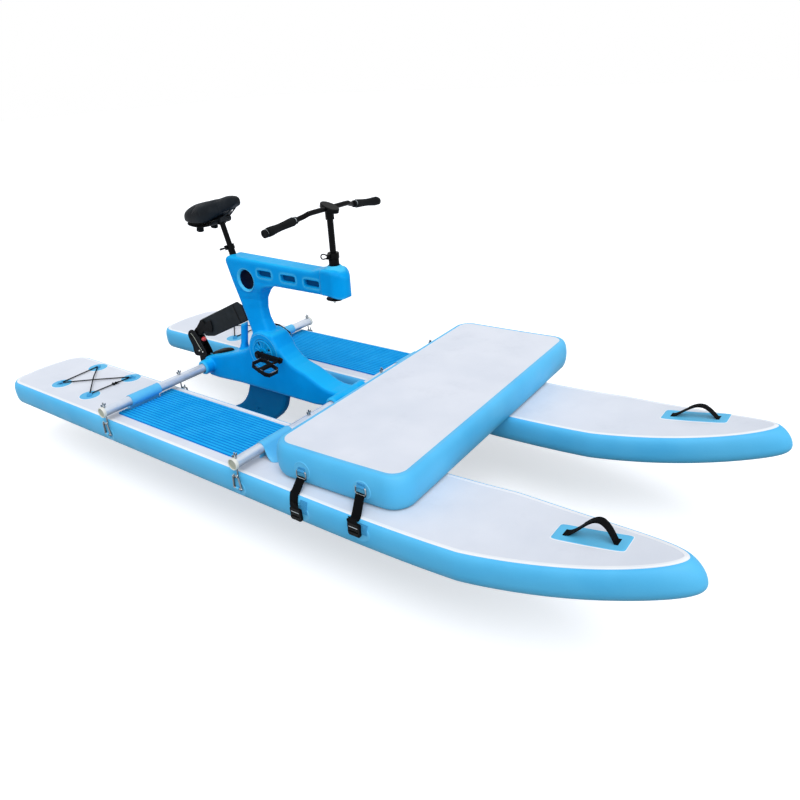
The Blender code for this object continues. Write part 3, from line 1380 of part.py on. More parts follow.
def bar_path(side):
    start, end = Vector(GRIP_START), Vector(GRIP_END)
    inside = start - (end - start).normalized() * 0.012
    tip = end - (end - start).normalized() * 0.006
    points = [(STEER_X, 0.0, BAR_Z), (STEER_X, BAR_STRAIGHT_Y - 0.02, BAR_Z),
        (STEER_X - 0.001, BAR_STRAIGHT_Y, BAR_Z - 0.001)]
    points += [(STEER_X - 0.009, BAR_STRAIGHT_Y + 0.022, BAR_Z - 0.009), tuple(inside), tuple(tip)]
    return [(x, side * y, z) for x, y, z in points]


def handlebar(name):
    path = bar_path(1)[::-1] + bar_path(-1)[1:]
    obj = make(name, swept(path, BAR_RADIUS, 12), "black_metal", (STEER_X, 0, BAR_Z))
    (x0, z0), (x1, z1) = STEM_PLATE_REAR, STEM_PLATE_FRONT
    slope = atan2(z1 - z0, x1 - x0)
    length = hypot(x1 - x0, z1 - z0)
    middle = Vector(((x0 + x1) / 2, 0, (z0 + z1) / 2))
    along = Vector((cos(slope), 0, sin(slope)))
    up = Vector((-sin(slope), 0, cos(slope)))
    rings = []
    for height, shrink in ((-0.5, 0.004), (-0.35, 0.0), (0.35, 0.0), (0.5, 0.004)):
        ring = []
        for k in range(20):
            angle = 2 * pi * k / 20
            u = (length / 2 - shrink) * cos(angle)
            v = (STEM_PLATE_HALF - shrink) * sin(angle)
            ring.append(middle + along * u + Vector((0, v, 0)) + up * height * STEM_PLATE_THICKNESS)
        rings.append(ring)
    join(obj, rings_solid(rings))
    join(obj, rod((STEER_X, 0, BAR_POST_TOP_Z - 0.028), (STEER_X, 0, BAR_Z), BAR_POST_RADIUS + 0.005, 20))
    return boolean(obj, rod((STEER_X, 0, 1.0), (STEER_X, 0, BAR_POST_TOP_Z + TOUCH_GAP),
        BAR_POST_RADIUS + SLIDE_GAP, 20))


def grip(name, side):
    start, end = (Vector((x, side * y, z)) for x, y, z in (GRIP_START, GRIP_END))
    length = (end - start).length
    inner = BAR_RADIUS + SLIDE_GAP
    radius = GRIP_RADIUS
    profile = [(0, length - 0.0055), (inner, length - 0.0055), (inner, 0), (radius, 0), (radius, 0.010)]
    profile += [(radius - 0.0015, 0.012), (radius, length * 0.5), (radius - 0.0015, length - 0.014)]
    profile += [(radius + 0.0005, length - 0.012), (radius + 0.0005, length - 0.002),
        (radius - 0.002, length), (0, length)]
    return make(name, turned(profile, start, end - start, 16), "rubber", start)


# Rudder


def rudder_bracket(name):
    front = REAR_TOP[0][0] - TOUCH_GAP
    outline = [(front, -BRACKET_HALF), (front, BRACKET_HALF)]
    for k in range(9):
        angle = pi / 2 + pi * k / 8
        outline.append((SWIVEL_X + BRACKET_HALF * cos(angle), BRACKET_HALF * sin(angle)))
    obj = make(name, prism(outline, "Z", *BRACKET_Z, 0.003, 1), "black_metal")
    bore = SWIVEL_PIN_RADIUS + SLIDE_GAP
    return boolean(obj, rod((SWIVEL_X, 0, 0.1), (SWIVEL_X, 0, 0.25), bore, 20))


def yoke_base_z():
    return BRACKET_Z[1] + TOUCH_GAP


def lock_direction():
    return unit(LOCK_KNOB[0] - SWIVEL_X - 0.004, LOCK_KNOB[1] - 0.232)


def rudder_yoke(name):
    """Fork that swivels on the bracket and carries the blade's fold pin between two cheeks."""
    base = yoke_base_z()
    top = base + YOKE_BASE_THICKNESS
    outer = YOKE_INSIDE_HALF + YOKE_CHEEK
    px, pz = FOLD_PIVOT
    cheek = rounded(
        [
            (SWIVEL_X + 0.022, base, 0.004),
            (SWIVEL_X + 0.022, base + 0.026, 0.008),
            (SWIVEL_X + 0.004, base + 0.062, 0.02),
            (px + 0.020, pz + 0.012, 0.012),
            (px - 0.002, pz + 0.020, 0.016),
            (px - 0.018, pz - 0.008, 0.012),
            (SWIVEL_X - 0.030, base + 0.030, 0.02),
            (SWIVEL_X - 0.022, base, 0.004),
        ],
        3,
    )
    obj = make(name, prism(cheek, "Y", -outer, outer, 0.002, 1), "black_metal", (SWIVEL_X, 0, base))
    gap = rounded(
        [
            (SWIVEL_X - 0.016, base + 0.036, 0.01),
            (SWIVEL_X + 0.030, base + 0.048, 0),
            (SWIVEL_X + 0.060, pz + 0.060, 0),
            (px - 0.060, pz + 0.060, 0),
            (px - 0.060, pz - 0.036, 0),
            (px + 0.020, pz - 0.046, 0.01),
        ],
        2,
    )
    boolean(obj, prism(gap, "Y", -YOKE_INSIDE_HALF, YOKE_INSIDE_HALF))
    join(obj, rod((SWIVEL_X, 0, BRACKET_Z[0] - 0.006), (SWIVEL_X, 0, top), SWIVEL_PIN_RADIUS, 20))
    pin_reach = outer + 0.006
    head = [(0, -pin_reach), (0.008, -pin_reach), (0.008, -outer + 0.001), (FOLD_PIN_RADIUS, -outer + 0.001)]
    head += [(r, -d) for r, d in reversed(head)]
    join(obj, turned(head, (px, 0, pz), (0, 1, 0), 16))
    ux, uz = lock_direction()
    tip = Vector((LOCK_KNOB[0], 0, LOCK_KNOB[1])) - Vector((ux, 0, uz)) * 0.070
    return boolean(obj, rod(tip, (LOCK_KNOB[0], 0, LOCK_KNOB[1]), LOCK_PIN_RADIUS + SLIDE_GAP, 12))


def rudder_blade(name):
    """Flat blade with a neck, folded up and forward over the frame at rest."""
    px, pz = FOLD_PIVOT
    up = radians(BLADE_UP_DEG)

    def world(s, t):
        return (px + s * cos(up) - t * sin(up), pz + s * sin(up) + t * cos(up))

    top, low = BLADE_ABOVE_PIVOT, BLADE_ABOVE_PIVOT - BLADE_CHORD
    flat = rounded(
        [
            (BLADE_START + 0.010, low + 0.016, 0.014),
            (BLADE_START + 0.070, low, 0.030),
            (BLADE_END, low, 0.012),
            (BLADE_END + 0.004, top - 0.030, 0.010),
            (BLADE_END - 0.026, top, 0.012),
            (BLADE_START + 0.020, top, 0.020),
            (BLADE_START - 0.030, BLADE_NECK_HALF - 0.002, 0.030),
            (0.050, BLADE_NECK_HALF - 0.003, 0),
            (0.050, -BLADE_NECK_HALF + 0.003, 0),
            (BLADE_START - 0.012, -BLADE_NECK_HALF + 0.002, 0.02),
        ],
        3,
    )
    outline = [world(s, t) for s, t in flat]
    half = BLADE_THICKNESS / 2
    obj = make(name, prism(outline, "Y", -half, half, 0.004, 1), "blade_black", (px, 0, pz))
    neck = []
    for k in range(9):
        angle = pi / 2 + pi * k / 8
        neck.append((BLADE_NECK_HALF * cos(angle), BLADE_NECK_HALF * sin(angle)))
    neck += [(BLADE_START - 0.016, -BLADE_NECK_HALF), (BLADE_START - 0.004, 0),
        (BLADE_START - 0.016, BLADE_NECK_HALF)]
    half = BLADE_NECK_THICKNESS / 2
    join(obj, prism([world(s, t) for s, t in neck], "Y", -half, half, 0.002, 1))
    return boolean(obj, rod((px, -0.05, pz), (px, 0.05, pz), FOLD_PIN_RADIUS + SLIDE_GAP, 16))


def rudder_lock_knob(name):
    """Red ball on a spring pin in the yoke."""
    ux, uz = lock_direction()
    ball = LOCK_KNOB_RADIUS
    profile = [(0, -0.068), (LOCK_PIN_RADIUS, -0.068), (LOCK_PIN_RADIUS, -ball * 0.98)]
    start = asin(LOCK_PIN_RADIUS / ball)
    for k in range(1, 8):
        angle = start + (pi - start) * k / 8
        profile.append((ball * sin(angle), -ball * cos(angle)))
    profile.append((0, ball))
    centre = (LOCK_KNOB[0], 0, LOCK_KNOB[1])
    return make(name, turned(profile, centre, (ux, 0, uz), 16), "knob_red", centre)


# Assembly


def build():
    clear_scene()
    for label, side in SIDES:
        hull(f"hull_{label}", side)
        deck_pad(f"deck_pad_{label}", PAD_STARBOARD_Y if side < 0 else PAD_PORT_Y)
        carry_handle(f"carry_handle_{label}", side)
        deck_cord(f"deck_cord_{label}", side)
        gear_cover(f"gear_cover_{label}", side)
        crank_arm(f"crank_arm_{label}", side)
        pedal(f"pedal_{label}", side)
        grip(f"grip_{label}", side)
        for number, (x, buckle_z) in enumerate(zip(STRAP_PAIR_X, BUCKLE_Z), 1):
            platform_strap(f"platform_strap_{label}_{number}", x, side, buckle_z)
        for where, end in ENDS:
            tube_cap(f"tube_cap_{where}_{label}", end, side)
            tube_sleeve(f"tube_sleeve_{where}_{label}", end, side)
            hook_bolt(f"hook_bolt_{where}_{label}", end, side)
            d_ring(f"d_ring_{where}_{label}", end, side)
    for where, end in ENDS:
        cross_tube(f"cross_tube_{where}", end)
    bow_platform("bow_platform")
    main_frame("main_frame")
    rear_hatch_cover("rear_hatch_cover")
    crank_axle("crank_axle")
    crank_bevel_gear("crank_bevel_gear")
    drive_shaft("drive_shaft")
    drive_leg("drive_leg")
    propeller_shaft("propeller_shaft")
    propeller("propeller")
    seat_clamp("seat_clamp")
    middle = SEAT_CLAMP_TOP - SEAT_CLAMP_HEIGHT / 2
    lever("seat_clamp_lever", seat_lug(middle), seat_direction(),
        (-cos(radians(SEAT_LEAN_DEG)), 0, -sin(radians(SEAT_LEAN_DEG))), (0, -1, 0), LEVER_LENGTH)
    seat_post("seat_post")
    saddle_clamp("saddle_clamp")
    saddle("saddle")
    steerer_tube("steerer_tube")
    lever("bar_clamp_lever", bar_lug(), (0, 0, 1), (-1, 0, 0), (0, -1, 0), LEVER_LENGTH)
    bar_post("bar_post")
    handlebar("handlebar")
    rudder_bracket("rudder_bracket")
    rudder_yoke("rudder_yoke")
    rudder_blade("rudder_blade")
    rudder_lock_knob("rudder_lock_knob")


build()
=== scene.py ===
# %% [markdown]
# # A pedal water bike, dressed
# The solids of the craft are already built and give every place and size. This lesson puts the real skins on
# them: welded PVC fabric, moulded plastic, anodised tube, webbing, rope and rubber. Everything is in metres,
# with +X to the bow, +Y to port and +Z up.

# %% The frame and the numbers that it gives
import math

import bmesh
import bpy
import numpy as np
from mathutils import Matrix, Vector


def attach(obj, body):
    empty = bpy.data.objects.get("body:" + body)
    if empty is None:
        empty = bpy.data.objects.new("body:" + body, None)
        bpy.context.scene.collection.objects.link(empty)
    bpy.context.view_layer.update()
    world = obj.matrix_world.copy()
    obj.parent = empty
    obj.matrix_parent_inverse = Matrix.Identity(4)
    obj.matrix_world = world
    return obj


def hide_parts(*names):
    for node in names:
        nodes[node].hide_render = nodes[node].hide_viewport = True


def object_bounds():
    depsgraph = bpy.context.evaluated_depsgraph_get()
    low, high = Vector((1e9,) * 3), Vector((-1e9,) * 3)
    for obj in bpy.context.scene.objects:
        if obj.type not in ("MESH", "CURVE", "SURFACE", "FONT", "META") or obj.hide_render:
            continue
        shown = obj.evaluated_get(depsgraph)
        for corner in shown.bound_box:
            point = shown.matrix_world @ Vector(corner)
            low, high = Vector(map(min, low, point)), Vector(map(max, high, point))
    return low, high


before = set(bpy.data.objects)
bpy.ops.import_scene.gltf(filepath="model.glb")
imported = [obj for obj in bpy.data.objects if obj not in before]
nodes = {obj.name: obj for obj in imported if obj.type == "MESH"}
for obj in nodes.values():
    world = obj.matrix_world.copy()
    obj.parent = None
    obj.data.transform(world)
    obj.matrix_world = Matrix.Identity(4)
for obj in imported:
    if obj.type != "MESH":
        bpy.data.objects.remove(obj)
cad_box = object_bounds()
print("solids", len(nodes), "box", cad_box)

# %% [markdown]
# ## Where the photographer stood
# The two cross tubes are parallel and so are the hulls, which fixes the camera: a normal lens, just above the
# bow's starboard side, looking down 26 degrees with a slight roll. The matrix columns are right, up and back.

# %% Camera
YAW, PITCH, ROLL = (math.radians(v) for v in (127.3336, -25.8249, -3.369))
look = np.array((math.cos(YAW) * math.cos(PITCH), math.sin(YAW) * math.cos(PITCH), math.sin(PITCH)))
level = np.array((math.sin(YAW), -math.cos(YAW), 0.0))
above = np.cross(level, look)
right = math.cos(ROLL) * level + math.sin(ROLL) * above
up = -math.sin(ROLL) * level + math.cos(ROLL) * above
placing = np.eye(4)
placing[:3, 0], placing[:3, 1], placing[:3, 2] = right, up, -look
placing[:3, 3] = (2.552, -2.3119, 1.6372)
camera_data = bpy.data.cameras.new("camera")
camera_data.lens, camera_data.sensor_width, camera_data.sensor_fit = 31.536, 36.0, "HORIZONTAL"
camera_data.clip_start = 0.05
camera = bpy.data.objects.new("camera", camera_data)
camera.matrix_world = Matrix(placing.tolist())
bpy.context.scene.collection.objects.link(camera)
bpy.context.scene.camera = camera
print("camera at", placing[:3, 3])

# %% [markdown]
# ## Colour and node helpers
# Colours are written as they look on a screen, so one function turns them to the linear values that the
# renderer wants. A material is a small network, and one function adds a node with its settings and its links.


# %% Helpers for materials
def linear(code):
    """sRGB hex to linear: v/12.92 below 0.04045, else ((v+0.055)/1.055)^2.4."""
    value = np.array([int(code[i:i + 2], 16) for i in (1, 3, 5)]) / 255
    value = np.where(value <= 0.04045, value / 12.92, ((value + 0.055) / 1.055) ** 2.4)
    return (*value.tolist(), 1.0)


def add(tree, kind, settings=None, links=None):
    """Adds one shader node. Names of attributes set the node, names or numbers of sockets set their values."""
    node = tree.nodes.new("ShaderNode" + kind)
    for key, value in (settings or {}).items():
        if isinstance(key, str) and hasattr(node, key):
            setattr(node, key, value)
        else:
            node.inputs[key].default_value = value
    for key, socket in (links or {}).items():
        tree.links.new(socket, node.inputs[key])
    return node


def start(name, roughness, metallic=0.0, **sockets):
    """A new material, with what is the same all over set on the shader itself."""
    material = bpy.data.materials.new(name)
    material.use_nodes = True
    shader = material.node_tree.nodes["Principled BSDF"]
    shader.inputs["Roughness"].default_value = roughness
    shader.inputs["Metallic"].default_value = metallic
    for key, value in sockets.items():
        shader.inputs[key.replace("_", " ")].default_value = value
    return material, material.node_tree, shader


def paint(tree, shader, height, deep_mm, **sockets):
    """Links what varies over the surface to the shader, and its height into a bump of this real depth."""
    bump = add(tree, "Bump", {"Distance": deep_mm / 1000}, {"Height": height})
    for key, value in {"Normal": bump.outputs["Normal"], **sockets}.items():
        tree.links.new(value, shader.inputs[key.replace("_", " ")])


def mottled(tree, place, size_mm, dark, light):
    """Colour that drifts between two near shades over patches of this size."""
    cloud = add(tree, "TexNoise", {"Scale": 1000 / size_mm, "Detail": 3.0}, {"Vector": place}).outputs["Fac"]
    share = add(tree, "MapRange", {"From Min": 0.35, "From Max": 0.65}, {"Value": cloud}).outputs[0]
    return add(tree, "Mix", {"data_type": "RGBA", 6: linear(dark), 7: linear(light)}, {0: share}).outputs[2]


def spread(tree, place, size_mm, low, high):
    """A number that drifts between two values over patches of this size."""
    cloud = add(tree, "TexNoise", {"Scale": 1000 / size_mm, "Detail": 2.0}, {"Vector": place}).outputs["Fac"]
    return add(tree, "MapRange", {"From Min": 0.3, "From Max": 0.7, "To Min": low, "To Max": high},
               {"Value": cloud}).outputs[0]


def facing(tree, low, high):
    """0 where the surface faces below the first level, 1 where it faces above the second: the normal's Z."""
    normal = add(tree, "TexCoord").outputs["Normal"]
    upward = add(tree, "SeparateXYZ", {}, {0: normal}).outputs["Z"]
    return add(tree, "MapRange", {"From Min": low, "From Max": high}, {"Value": upward}).outputs[0]


# %% [markdown]
# ## Welded PVC fabric
# Hulls and platform are drop-stitch fabric: two woven layers held parallel by thousands of threads, coated
# with PVC. The coating is satin. The threads pull shallow dimples in rows, about 8 mm apart here so that they
# show, and the whole sheet is faintly wavy. The white deck picks up grey dust in patches.


# %% Coated fabric
def coated_fabric(name, dark, light, roughness, dust=None, below=None):
    """Fabric that may carry grey dust on top, and painted shade on the side that faces down."""
    material, tree, shader = start(name, roughness, IOR=1.5, Specular_IOR_Level=0.35)
    place = add(tree, "TexCoord").outputs["Object"]
    shade = mottled(tree, place, 240, dark, light)
    if dust:
        grime = add(tree, "TexNoise", {"Scale": 5.0, "Detail": 8.0, "Roughness": 0.7}, {"Vector": place})
        share = add(tree, "MapRange", {"From Min": 0.56, "From Max": 0.86, "To Max": 0.35},
                    {"Value": grime.outputs["Fac"]}).outputs[0]
        shade = add(tree, "Mix", {"data_type": "RGBA", 7: linear(dust)}, {0: share, 6: shade}).outputs[2]
    # painted shade: the side that faces down goes towards the below colour
    if below:
        shade = add(tree, "Mix", {"data_type": "RGBA", 6: linear(below)},
                    {0: facing(tree, -0.85, 0.05), 7: shade}).outputs[2]
    swell = add(tree, "TexNoise", {"Scale": 7.0, "Detail": 1.0}, {"Vector": place}).outputs["Fac"]
    dimples = add(tree, "TexVoronoi", {"feature": "SMOOTH_F1", "Scale": 125.0, "Randomness": 0.25},
                  {"Vector": place})
    both = add(tree, "Math", {"operation": "MULTIPLY_ADD", 1: 14.0}, {0: swell, 2: dimples.outputs["Distance"]})
    paint(tree, shader, both.outputs[0], 0.25, Base_Color=shade,
          Roughness=spread(tree, place, 60, roughness - 0.05, roughness + 0.07))
    return material


deck_white = coated_fabric("white_pvc_coated_fabric", "#DFE4EE", "#E6EAF3", 0.60, dust="#C3C8D4")
# The rails' darker teal underside is painted shade.
rail_blue = coated_fabric("light_blue_pvc_coated_fabric", "#50BCF2", "#5CC4F7", 0.52, below="#3A93AE")
rail_seam = coated_fabric("light_blue_pvc_seam_tape", "#58BDEF", "#66C6F4", 0.47)
# This white is the hulls' edge tape, and also the thin outline round the deck patches, which is a painted
# highlight.
tape_and_highlight_white = coated_fabric("white_pvc_edge_tape_and_painted_highlight", "#F0F3F8", "#F6F8FC", 0.50)
patch_blue = coated_fabric("light_blue_pvc_patch", "#4FB6E8", "#5DC0EE", 0.50)
handle_blue = coated_fabric("cyan_pvc_patch", "#57BDEC", "#63C5F1", 0.50)

# %% [markdown]
# ## Foam, moulded plastic and rubber
# The deck pads are EVA foam, dull and faintly cellular. The frame is rotation-moulded polyethylene: thick,
# softly glossy, its colour going through, with a slightly orange-peel skin. Small black parts are moulded
# nylon or rubber, told apart by how rough they are.


# %% Foam, plastics and rubber
def cellular_foam(name, dark, light, groove, groove_z, ridge_z):
    """Foam whose grooves are darker as painted shade: the colour goes by height between the two levels."""
    material, tree, shader = start(name, 0.88, Specular_IOR_Level=0.08)
    place = add(tree, "TexCoord").outputs["Object"]
    height = add(tree, "SeparateXYZ", {}, {0: place}).outputs["Z"]
    share = add(tree, "MapRange", {"From Min": groove_z, "From Max": ridge_z}, {"Value": height}).outputs[0]
    # painted shade: low places in the grooves go towards the groove colour
    shade = add(tree, "Mix", {"data_type": "RGBA", 6: linear(groove)},
                {0: share, 7: mottled(tree, place, 90, dark, light)}).outputs[2]
    cells = add(tree, "TexNoise", {"Scale": 450.0, "Detail": 4.0}, {"Vector": place}).outputs["Fac"]
    paint(tree, shader, cells, 0.35, Base_Color=shade)
    return material


def moulded(name, dark, light, roughness, peel_mm=9.0, peel_deep_mm=0.10, hollow_shade=None, edges=None, above=None,
            **sockets):
    """Plastic with an orange-peel skin. Deep pockets may go towards a darker colour as painted shade, rounded outer
    edges towards a lighter one as a painted highlight and faces that look up towards a third as painted light from
    above."""
    material, tree, shader = start(name, roughness, IOR=1.5, **sockets)
    place = add(tree, "TexCoord").outputs["Object"]
    shade = mottled(tree, place, 130, dark, light)
    # painted light: faces that look up go towards a lighter colour
    if above:
        shade = add(tree, "Mix", {"data_type": "RGBA", 7: linear(above)},
                    {0: facing(tree, 0.55, 0.95), 6: shade}).outputs[2]
    # painted highlight: rounded outer edges, found by occlusion inside the surface, go towards a lighter colour
    if edges:
        depth = add(tree, "AmbientOcclusion", {"samples": 10, "inside": True, "Distance": 0.014}).outputs["AO"]
        share = add(tree, "MapRange", {"From Min": 0.62, "From Max": 0.93}, {"Value": depth}).outputs[0]
        shade = add(tree, "Mix", {"data_type": "RGBA", 6: linear(edges)}, {0: share, 7: shade}).outputs[2]
    # painted shade: deep pockets, found by occlusion, go towards a dark colour
    if hollow_shade:
        open_sky = add(tree, "AmbientOcclusion", {"samples": 12, "Distance": 0.07}).outputs["AO"]
        share = add(tree, "MapRange", {"From Min": 0.20, "From Max": 0.66}, {"Value": open_sky}).outputs[0]
        shade = add(tree, "Mix", {"data_type": "RGBA", 6: linear(hollow_shade)}, {0: share, 7: shade}).outputs[2]
    peel = add(tree, "TexNoise", {"Scale": 1000 / peel_mm, "Detail": 2.0}, {"Vector": place}).outputs["Fac"]
    paint(tree, shader, peel, peel_deep_mm, Base_Color=shade,
          Roughness=spread(tree, place, 35, roughness - 0.06, roughness + 0.08))
    return material


# The darker groove colour is painted shade.
pad_foam = cellular_foam("blue_eva_foam", "#18AAF0", "#26B4F6", "#0A86D6", 0.1250, 0.1276)
# The shell's pockets are painted darker (painted shade), its rounded edges lighter (painted highlight) and its
# up-facing faces lighter (painted light from above).
shell_blue = moulded("blue_rotomoulded_polyethylene", "#009AEA", "#02A4F4", 0.36, hollow_shade="#00356E",
                     edges="#4CCBFA", above="#18B6F6", Specular_IOR_Level=0.05)
# Both liner colours are painted shade: dark sheets that stand for the shade inside the frame's pockets and round
# hole.
pocket_shade_blue = moulded("blue_painted_pocket_shade", "#00487C", "#00568C", 0.45, Specular_IOR_Level=0.05)
hole_shade_navy = moulded("dark_blue_painted_hole_shade", "#020E30", "#04183E", 0.45, Specular_IOR_Level=0.05)
leg_blue = moulded("dark_blue_moulded_polyethylene", "#0070AC", "#0079B6", 0.45, Specular_IOR_Level=0.05)
cover_blue = moulded("blue_moulded_abs", "#0099DE", "#02A2E8", 0.36, 5.0, 0.05, Specular_IOR_Level=0.06)
# This lighter blue on lips, rims and ribs is a painted highlight.
highlight_lip_blue = moulded("light_blue_painted_edge_highlight", "#2DB6F2", "#48C4F8", 0.30, 5.0, 0.03, Specular_IOR_Level=0.3)
black_nylon = moulded("black_moulded_nylon", "#070708", "#0C0C0E", 0.44, 3.0, 0.06, Specular_IOR_Level=0.07)
black_rubber = moulded("black_rubber", "#0E1012", "#16191B", 0.70, 2.0, 0.08, Specular_IOR_Level=0.08)
blade_black = moulded("black_glass_filled_nylon", "#14191C", "#1B2125", 0.52, 6.0, 0.08, Specular_IOR_Level=0.12)
cap_cream = moulded("off_white_moulded_nylon", "#E4E4DC", "#EEEEE6", 0.50, 4.0, 0.05)
# This greyer cream is painted shade on the tube plugs' dished faces, and a painted highlight where it draws the
# pale line on the rudder fork's cheeks.
cream_shade_and_glint = moulded("grey_cream_painted_shade_and_highlight", "#B4B8A8", "#C0C4B4", 0.60, 4.0, 0.05)
knob_red = moulded("red_moulded_nylon", "#CC2A32", "#D8343A", 0.30, 4.0, 0.04, Coat_Weight=0.3)

# %% [markdown]
# ## Metals
# Cross tubes are drawn aluminium with a clear anodised skin: fine draw lines along the tube blur its
# highlight one way. Hooks and rings are bent stainless wire. Posts and bar are black anodised, which looks
# like a dark satin paint with a metal's sharp edge light.


# %% Metals
def drawn_metal(name, dark, light, roughness, along, metallic=1.0, under=None, **sockets):
    """Metal with draw lines 0.7 mm apart. Where under is (colour, low, high), the side that faces down goes towards
    it: painted shade on the tube and a painted reflection of dark ground on the wire."""
    material, tree, shader = start(name, roughness, metallic, **sockets)
    place = add(tree, "TexCoord").outputs["Object"]
    stretch = [1.0 if axis == along else 60.0 for axis in "XYZ"]
    drawn = add(tree, "Mapping", {"Scale": stretch}, {"Vector": place}).outputs[0]
    streaks = add(tree, "TexNoise", {"Scale": 25.0, "Detail": 3.0}, {"Vector": drawn}).outputs["Fac"]
    blur = add(tree, "MapRange", {"To Min": roughness - 0.07, "To Max": roughness + 0.10}, {"Value": streaks})
    shade = mottled(tree, place, 70, dark, light)
    # painted shade and painted reflection: the side that faces down goes towards the under colour
    if under:
        shade = add(tree, "Mix", {"data_type": "RGBA", 6: linear(under[0])},
                    {0: facing(tree, *under[1:]), 7: shade}).outputs[2]
    paint(tree, shader, streaks, 0.02, Base_Color=shade, Roughness=blur.outputs[0])
    return material


# The tube's darker underside is painted shade.
tube_aluminium = drawn_metal("anodised_aluminium_tube", "#CFD8E4", "#DEE5EF", 0.36, "Y", 0.45,
                             under=("#4E5A66", -0.92, 0.25))
# The wire's darker underside is a painted reflection of dark ground.
steel_wire = drawn_metal("stainless_steel_wire", "#A8B2B8", "#C8D0D4", 0.26, "Z", under=("#23292D", -0.25, 0.55))
dark_steel = drawn_metal("black_zinc_plated_steel", "#1B1D20", "#26292D", 0.38, "Z", 0.45, Specular_IOR_Level=0.1)
black_anodised = drawn_metal("black_anodised_aluminium", "#050506", "#090A0C", 0.34, "Z", 0.0,
                             Specular_IOR_Level=0.06)
print("materials", len(bpy.data.materials))

# %% [markdown]
# ## Webbing, rope and leather
# Straps are woven polyester: ribs run across them, about 2 mm apart, over a fine twill. The weave follows the
# strap, so it reads the strap's own UV map, in metres along and across. Rope covers are braided the same way.


# %% Woven and sewn stuff
def webbing(name, dark, light, rib_mm=2.4):
    """Ribs across the strap, from a wave of the UV's run in metres."""
    material, tree, shader = start(name, 0.82, Specular_IOR_Level=0.06)
    place = add(tree, "UVMap", {"uv_map": "run"}).outputs["UV"]
    ribs, cross = (
        add(tree, "TexWave", {"bands_direction": way, "Scale": 1000 / rib_mm / wide, "Distortion": bend},
            {"Vector": place}).outputs["Fac"] for way, wide, bend in (("X", 2.0, 0.4), ("Y", 1.2, 0.0)))
    weave = add(tree, "Math", {"operation": "MULTIPLY"}, {0: ribs, 1: cross}).outputs[0]
    shade = add(tree, "Mix", {"data_type": "RGBA", 6: linear(dark), 7: linear(light)}, {0: weave}).outputs[2]
    paint(tree, shader, weave, 0.5, Base_Color=shade)
    return material


def grained_leather(name, dark, light):
    """Synthetic leather: pebbles about 3 mm across, its gloss drifting in patches."""
    material, tree, shader = start(name, 0.52, IOR=1.5, Specular_IOR_Level=0.12)
    place = add(tree, "TexCoord").outputs["Object"]
    pebbles = add(tree, "TexVoronoi", {"feature": "DISTANCE_TO_EDGE", "Scale": 330.0}, {"Vector": place})
    paint(tree, shader, pebbles.outputs["Distance"], 0.5, Base_Color=mottled(tree, place, 80, dark, light),
          Roughness=spread(tree, place, 50, 0.44, 0.60))
    return material


black_webbing = webbing("black_polyester_webbing", "#060708", "#131518")
blue_webbing = webbing("light_blue_polyester_webbing", "#3C9AD6", "#66C2F2")
black_rope = webbing("black_braided_elastic_cord", "#0B0C0E", "#222529", 1.6)
saddle_leather = grained_leather("black_synthetic_leather", "#0A0F15", "#111920")
print("materials", len(bpy.data.materials))

# %% [markdown]
# ## Surfaces from arrays
# Each new piece is one or more grids of points, worked out as whole arrays. Neighbouring points become
# quads, doubled points at seams and poles are merged, and the normals are turned outwards.


# %% Mesh tools
MERGE = 1e-5
SIDES = (("starboard", -1), ("port", 1))
CORNERS = [(f"{where}_{label}", end, side)
           for where, end in (("front", 1), ("rear", -1)) for label, side in SIDES]


def mm(rows):
    """Lengths in millimetres, as an array in metres."""
    return np.array(rows, float) / 1000


def places(mesh):
    """The points of a mesh, a row each."""
    points = np.empty(len(mesh.vertices) * 3)
    mesh.vertices.foreach_get("co", points)
    return points.reshape(-1, 3)


def netted(made, net_mm, rounds=0):
    """Puts an even net of this size over an object and relaxes it this many times. Returns the new mesh."""
    net = made.modifiers.new("net", "REMESH")
    net.mode, net.voxel_size, net.adaptivity = "VOXEL", net_mm / 1000, 0.0
    if rounds:
        relax = made.modifiers.new("relax", "SMOOTH")
        relax.factor, relax.iterations = 0.5, rounds
    even = bpy.data.meshes.new_from_object(made.evaluated_get(bpy.context.evaluated_depsgraph_get()))
    made.modifiers.clear()
    made.data = even
    return even


def quads(rows, columns, wrap_rows=False, wrap_columns=False):
    """Corner numbers of the quads of a grid, row by row."""
    index = np.arange(rows * columns).reshape(rows, columns)
    if wrap_rows:
        index = np.vstack([index, index[:1]])
    if wrap_columns:
        index = np.hstack([index, index[:, :1]])
    return np.stack([index[:-1, :-1], index[:-1, 1:], index[1:, 1:], index[1:, :-1]], -1).reshape(-1, 4)


